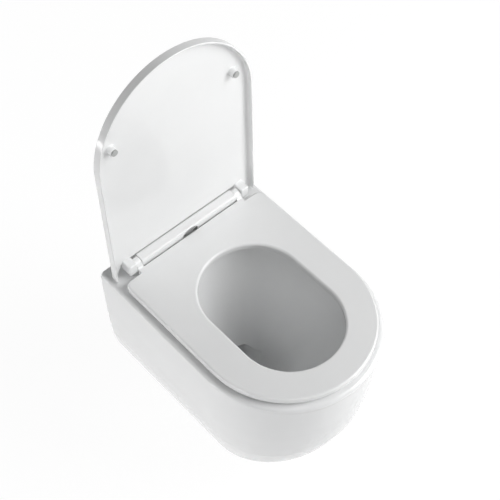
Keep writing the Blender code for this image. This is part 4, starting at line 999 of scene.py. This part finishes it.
@dataclass
class Bar:
    """The hinge bar's cover with its scallop, and the ribbed release button."""

    edge_radius: float = 4 * MM
    back_radius: float = 2.4 * MM
    end_edge: float = 0.6 * MM
    groove_depth: float = 1.8 * MM
    groove_wall: float = 0.8 * MM
    groove_slope: float = 0.6 * MM
    groove_low: float = 95 * MM
    groove_high: float = 103.6 * MM
    wall: float = 2.2 * MM
    end_bore: float = 5.3 * MM
    end_span: Spot = (109 * MM, 118 * MM)
    recess_half: float = 18.5 * MM
    recess_rise: float = 14 * MM
    recess_drop: float = 11 * MM
    recess_base: float = 101 * MM
    recess_flare: float = 0.8 * MM
    button_inset: float = 1.5 * MM
    button_thickness: float = 3 * MM
    button_gap: float = 0.6 * MM
    button_edge: float = 0.5 * MM
    foot: tuple = ((-40, -55, 85), (40, -40, 105.4))
    stems: tuple = (((-7.5, -46.3, 95.7), (-4, -44.8, 107.4)),
                    ((4, -46.3, 95.7), (7.5, -44.8, 107.4)))
    nose: tuple = ((-9, -46.3), (-9, -46), (0, -37), (9, -46), (9, -46.3))
    nose_span: Spot = (95.5 * MM, 100.5 * MM)
    ribs: range = range(-6, 7)
    rib_pitch: float = 2.4 * MM
    rib_width: float = 1.3 * MM
    rib_height: float = 0.8 * MM
    rib_edge: float = 0.45 * MM
    rib_margin: float = 1.1 * MM
    rib_low: float = 105.6 * MM

    @property
    def front(self) -> float:
        """Return the bar's front plane."""
        return HINGE.axis_y - HINGE.bar_depth / 2

    @property
    def button_back(self) -> float:
        """Return the back plane of the button's plate."""
        return self.front + self.button_inset + self.button_thickness

    def prism(self, name: str, gone: float, low: float) -> Piece:
        """Draw the bar's section out along X.

        Args:
            name: Name of the new object.
            gone: How far the section is inset.
            low: Height of its flat underside.

        Returns:
            The prism.
        """
        front, back = self.front + gone, HINGE.axis_y + HINGE.bar_depth / 2 - gone
        top, half = HINGE.bar_top - gone, HINGE.bar_half - gone
        radius, tight = self.edge_radius - gone, self.back_radius - gone
        deep = self.front + self.groove_depth + (self.groove_wall if gone else 0)
        bottom, ledge = self.groove_low - gone, self.groove_high + gone / 2
        section = [(front, low), (front, bottom), (deep, bottom + self.groove_slope),
                   (deep, ledge - self.groove_slope), (front, ledge)]
        section += arc((front + radius, top - radius), (radius, radius), math.pi, QUARTER, 12)
        section += arc((back - tight, top - tight), (tight, tight), QUARTER, 0, 12)
        section.append((back, low))
        return extrude_rings(name, [[(x, y, z) for y, z in section] for x in (-half, half)])

    def ellipse(self, grow: float, y: float) -> Ring:
        """Return the scallop's grown ellipse at a depth, lower below its middle than above."""
        return [((self.recess_half + grow) * math.cos(t), y,
                 self.recess_base + (grow + (self.recess_rise if t < math.pi else
                                             self.recess_drop)) * math.sin(t))
                for t in turns(ROUND_STEPS)]

    def cover(self) -> Piece:
        """Return the cover, hollow from below, with its scallop."""
        bar = self.prism("bar_cover", 0, HINGE.bar_bottom)
        bevel_edges(bar, is_rim, self.end_edge, 3)
        apply_tools(bar, self.prism("bar_inside", self.wall, HINGE.bar_bottom - CLEAR))
        flare = self.recess_flare
        rings = [self.ellipse(flare, self.front - CLEAR)]
        rings += [self.ellipse(gone, self.front + drop) for gone, drop in quarter(flare, 4)]
        apply_tools(bar, extrude_rings("scallop", rings + [self.ellipse(0, self.button_back)]))
        for side in SIDES.values():
            HINGE.bore(bar, self.end_bore, self.end_span, side)
        return bar

    def button(self) -> Piece:
        """Return the ribbed button with its stems and its wedge."""
        face, back, gap = self.front + self.button_inset, self.button_back, self.button_gap
        half, rise = self.recess_half - gap, self.recess_rise - gap
        rings = [self.ellipse(-gap - gone, face + drop)
                 for gone, drop in quarter(self.button_edge, 3)]
        button = extrude_rings("release_paddle", rings + [self.ellipse(-gap, back)])
        apply_tools(button, block("foot", *in_mm(*self.foot)))
        added = [block("stem", *in_mm(*corners)) for corners in self.stems]
        for x in (i * self.rib_pitch for i in self.ribs):
            top = self.recess_base + rise * math.sqrt(1 - (x / half) ** 2) - self.rib_margin
            added.append(block(
                "rib", (x - self.rib_width / 2, face - self.rib_height, self.rib_low),
                (x + self.rib_width / 2, face + self.rib_height, top), self.rib_edge, 3))
        added.append(extrude_rings("nose", [lift(in_mm(*self.nose), z) for z in self.nose_span]))
        return apply_tools(button, *added, way=Cut.JOIN)

    def build(self) -> None:
        """Build the cover and the button."""
        settle(self.cover(), DUROPLAST, "bar", ("hinge_bar",))
        settle(self.button(), GREY_PLASTIC, "button", ("release_button",))


# ---- CAD nodes that keep their shape ----


@dataclass
class Fittings:
    """The plain fittings whose CAD shape is right, in finer finishes."""

    finishes: tuple = (
        (BLACK_RUBBER, ("inlet_seal", "expansion_plug")),
        (WHITE_PLASTIC, ("stud_sleeve", "bar_base")),
        (STEEL, ("stud_washer", "stud_nut", "hinge_bolt", "post_plate", "hinge_post",
                 "damper_shaft", "button_spring")),
        (BRASS, ("plug_nut",)), (DAMPER_PLASTIC, ("damper",)),
        (GREY_PLASTIC, ("seat_bush", "lid_bush", "latch")))

    def build(self) -> None:
        """Give each fitting its finish, the first that a name's start fits."""
        for name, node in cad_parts.items():
            for finish, starts in self.finishes:
                if name.startswith(starts):
                    for spot in node.material_slots:
                        spot.material = finish.material()
                    LOG.info("%s: dressed as %s", name, finish.name)
                    break


# ---- Studio ----


@dataclass
class Studio:
    """Camera, soft boxes, floor and white surroundings."""

    camera_place: Point = (-0.84569666, -1.16915445, 1.93102687)
    azimuth: float = 41.656536
    elevation: float = 53.448306
    roll: float = -0.425360
    lens: float = 87.7827
    sensor: float = 36
    aim: Point = (0, -0.25, 0.1)
    floor_z: float = -330 * MM
    floor_size: float = 12
    floor_tone: float = 0.9
    floor_roughness: float = 0.9
    floor_glow: float = 1.05
    floor_share: float = 0.9
    ambient: float = 0.08
    box_width: float = 1.8
    boxes: tuple = (
        ("low_right_box", (1.96, -2.21, 0.55), 1.8, 25),
        ("high_right_box", (1.47, -1.72, 1.97), 1.8, 58),
        ("high_left_box", (-1.47, -1.72, 1.97), 1.8, 14),
        ("floor_back_box", (-1.97, 1.72, -0.16), 0.3, 15),
        ("floor_left_box", (-2.79, -0.25, -0.16), 0.3, 23),
        ("back_box", (0.9, 2.3, 0.4), 1.8, 7))

    def add_camera(self) -> None:
        """Set the camera at the photograph's viewing angle."""
        camera = bpy.data.cameras.new("photo_camera")
        camera.lens = self.lens
        camera.sensor_width = self.sensor
        holder = bpy.data.objects.new("photo_camera", camera)
        az, el, roll = (math.radians(v) for v in (self.azimuth, self.elevation, self.roll))
        holder.matrix_world = (
            Matrix.Translation(self.camera_place) @ Matrix.Rotation(-az, 4, "Z")
            @ Matrix.Rotation(QUARTER - el, 4, "X") @ Matrix.Rotation(roll, 4, "Z"))
        bpy.context.scene.collection.objects.link(holder)
        bpy.context.scene.camera = holder

    def add_box(self, name: str, place: Point, tall: float, power: float) -> None:
        """Add a soft box that looks at the pan.

        Args:
            name: Name of the light.
            place: Where it hangs.
            tall: Its height.
            power: Its power in watts.
        """
        light = bpy.data.lights.new(name, "AREA")
        light.shape = "RECTANGLE"
        light.size = self.box_width
        light.size_y = tall
        light.energy = power
        holder = bpy.data.objects.new(name, light)
        holder.location = place
        aim = Vector(self.aim) - Vector(place)
        holder.rotation_euler = aim.to_track_quat("-Z", "Y").to_euler()
        bpy.context.scene.collection.objects.link(holder)

    @staticmethod
    def shown(tree: Tree) -> Node:
        """Return a node that gives 1 for rays that show the surroundings."""
        path = add_node(tree, "LightPath")
        first, second = add_node(tree, "Math"), add_node(tree, "Math")
        first.operation = second.operation = "MAXIMUM"
        wire(tree, (path, "Is Camera Ray", first, 0), (path, "Is Glossy Ray", first, 1),
             (first, 0, second, 0), (path, "Is Transmission Ray", second, 1))
        return second

    def add_floor(self) -> None:
        """Lay a pale floor that shows white and keeps the shadow."""
        clear_pick()
        bpy.ops.mesh.primitive_grid_add(x_subdivisions=8, y_subdivisions=8, size=self.floor_size)
        floor = name_new("floor")
        with all_in_edit():
            bpy.ops.transform.translate(value=(0, 0, self.floor_z))
        made = bpy.data.materials.new("studio_floor")
        made.use_nodes = True
        tree = made.node_tree
        shader = set_inputs(tree.nodes["Principled BSDF"],
                            Base_Color=(*[self.floor_tone] * 3, 1), Roughness=self.floor_roughness)
        glow = add_node(tree, "Emission", Strength=self.floor_glow)
        blend, share = add_node(tree, "MixShader"), add_node(tree, "Math")
        share.operation = "MULTIPLY"
        share.inputs[1].default_value = self.floor_share
        wire(tree, (self.shown(tree), 0, share, 0), (share, 0, blend, 0),
             (shader, 0, blend, 1), (glow, 0, blend, 2),
             (blend, 0, tree.nodes["Material Output"], "Surface"))
        floor.data.materials.append(made)

    def add_world(self) -> None:
        """Surround the scene with soft light that shows white."""
        world = bpy.data.worlds.new("studio")
        world.use_nodes = True
        tree = world.node_tree
        soft = set_inputs(tree.nodes["Background"], Color=(1, 1, 1, 1), Strength=self.ambient)
        white = add_node(tree, "Background", Color=(1, 1, 1, 1), Strength=1.0)
        blend = add_node(tree, "MixShader")
        wire(tree, (self.shown(tree), 0, blend, 0), (soft, 0, blend, 1), (white, 0, blend, 2),
             (blend, 0, tree.nodes["World Output"], "Surface"))
        bpy.context.scene.world = world

    def build(self) -> None:
        """Set up the camera, lights, floor and surroundings."""
        bpy.context.scene.view_settings.view_transform = "Standard"
        self.add_camera()
        for box in self.boxes:
            self.add_box(*box)
        self.add_floor()
        self.add_world()


def main() -> None:
    """Build every sub-assembly, dress the fittings and set up the studio."""
    logging.basicConfig(level=logging.INFO, format="%(message)s")
    for assembly in (Pan(), Seat(), Lid(), Bar(), Fittings(), Studio()):
        assembly.build()


if __name__ == "__main__":
    main()
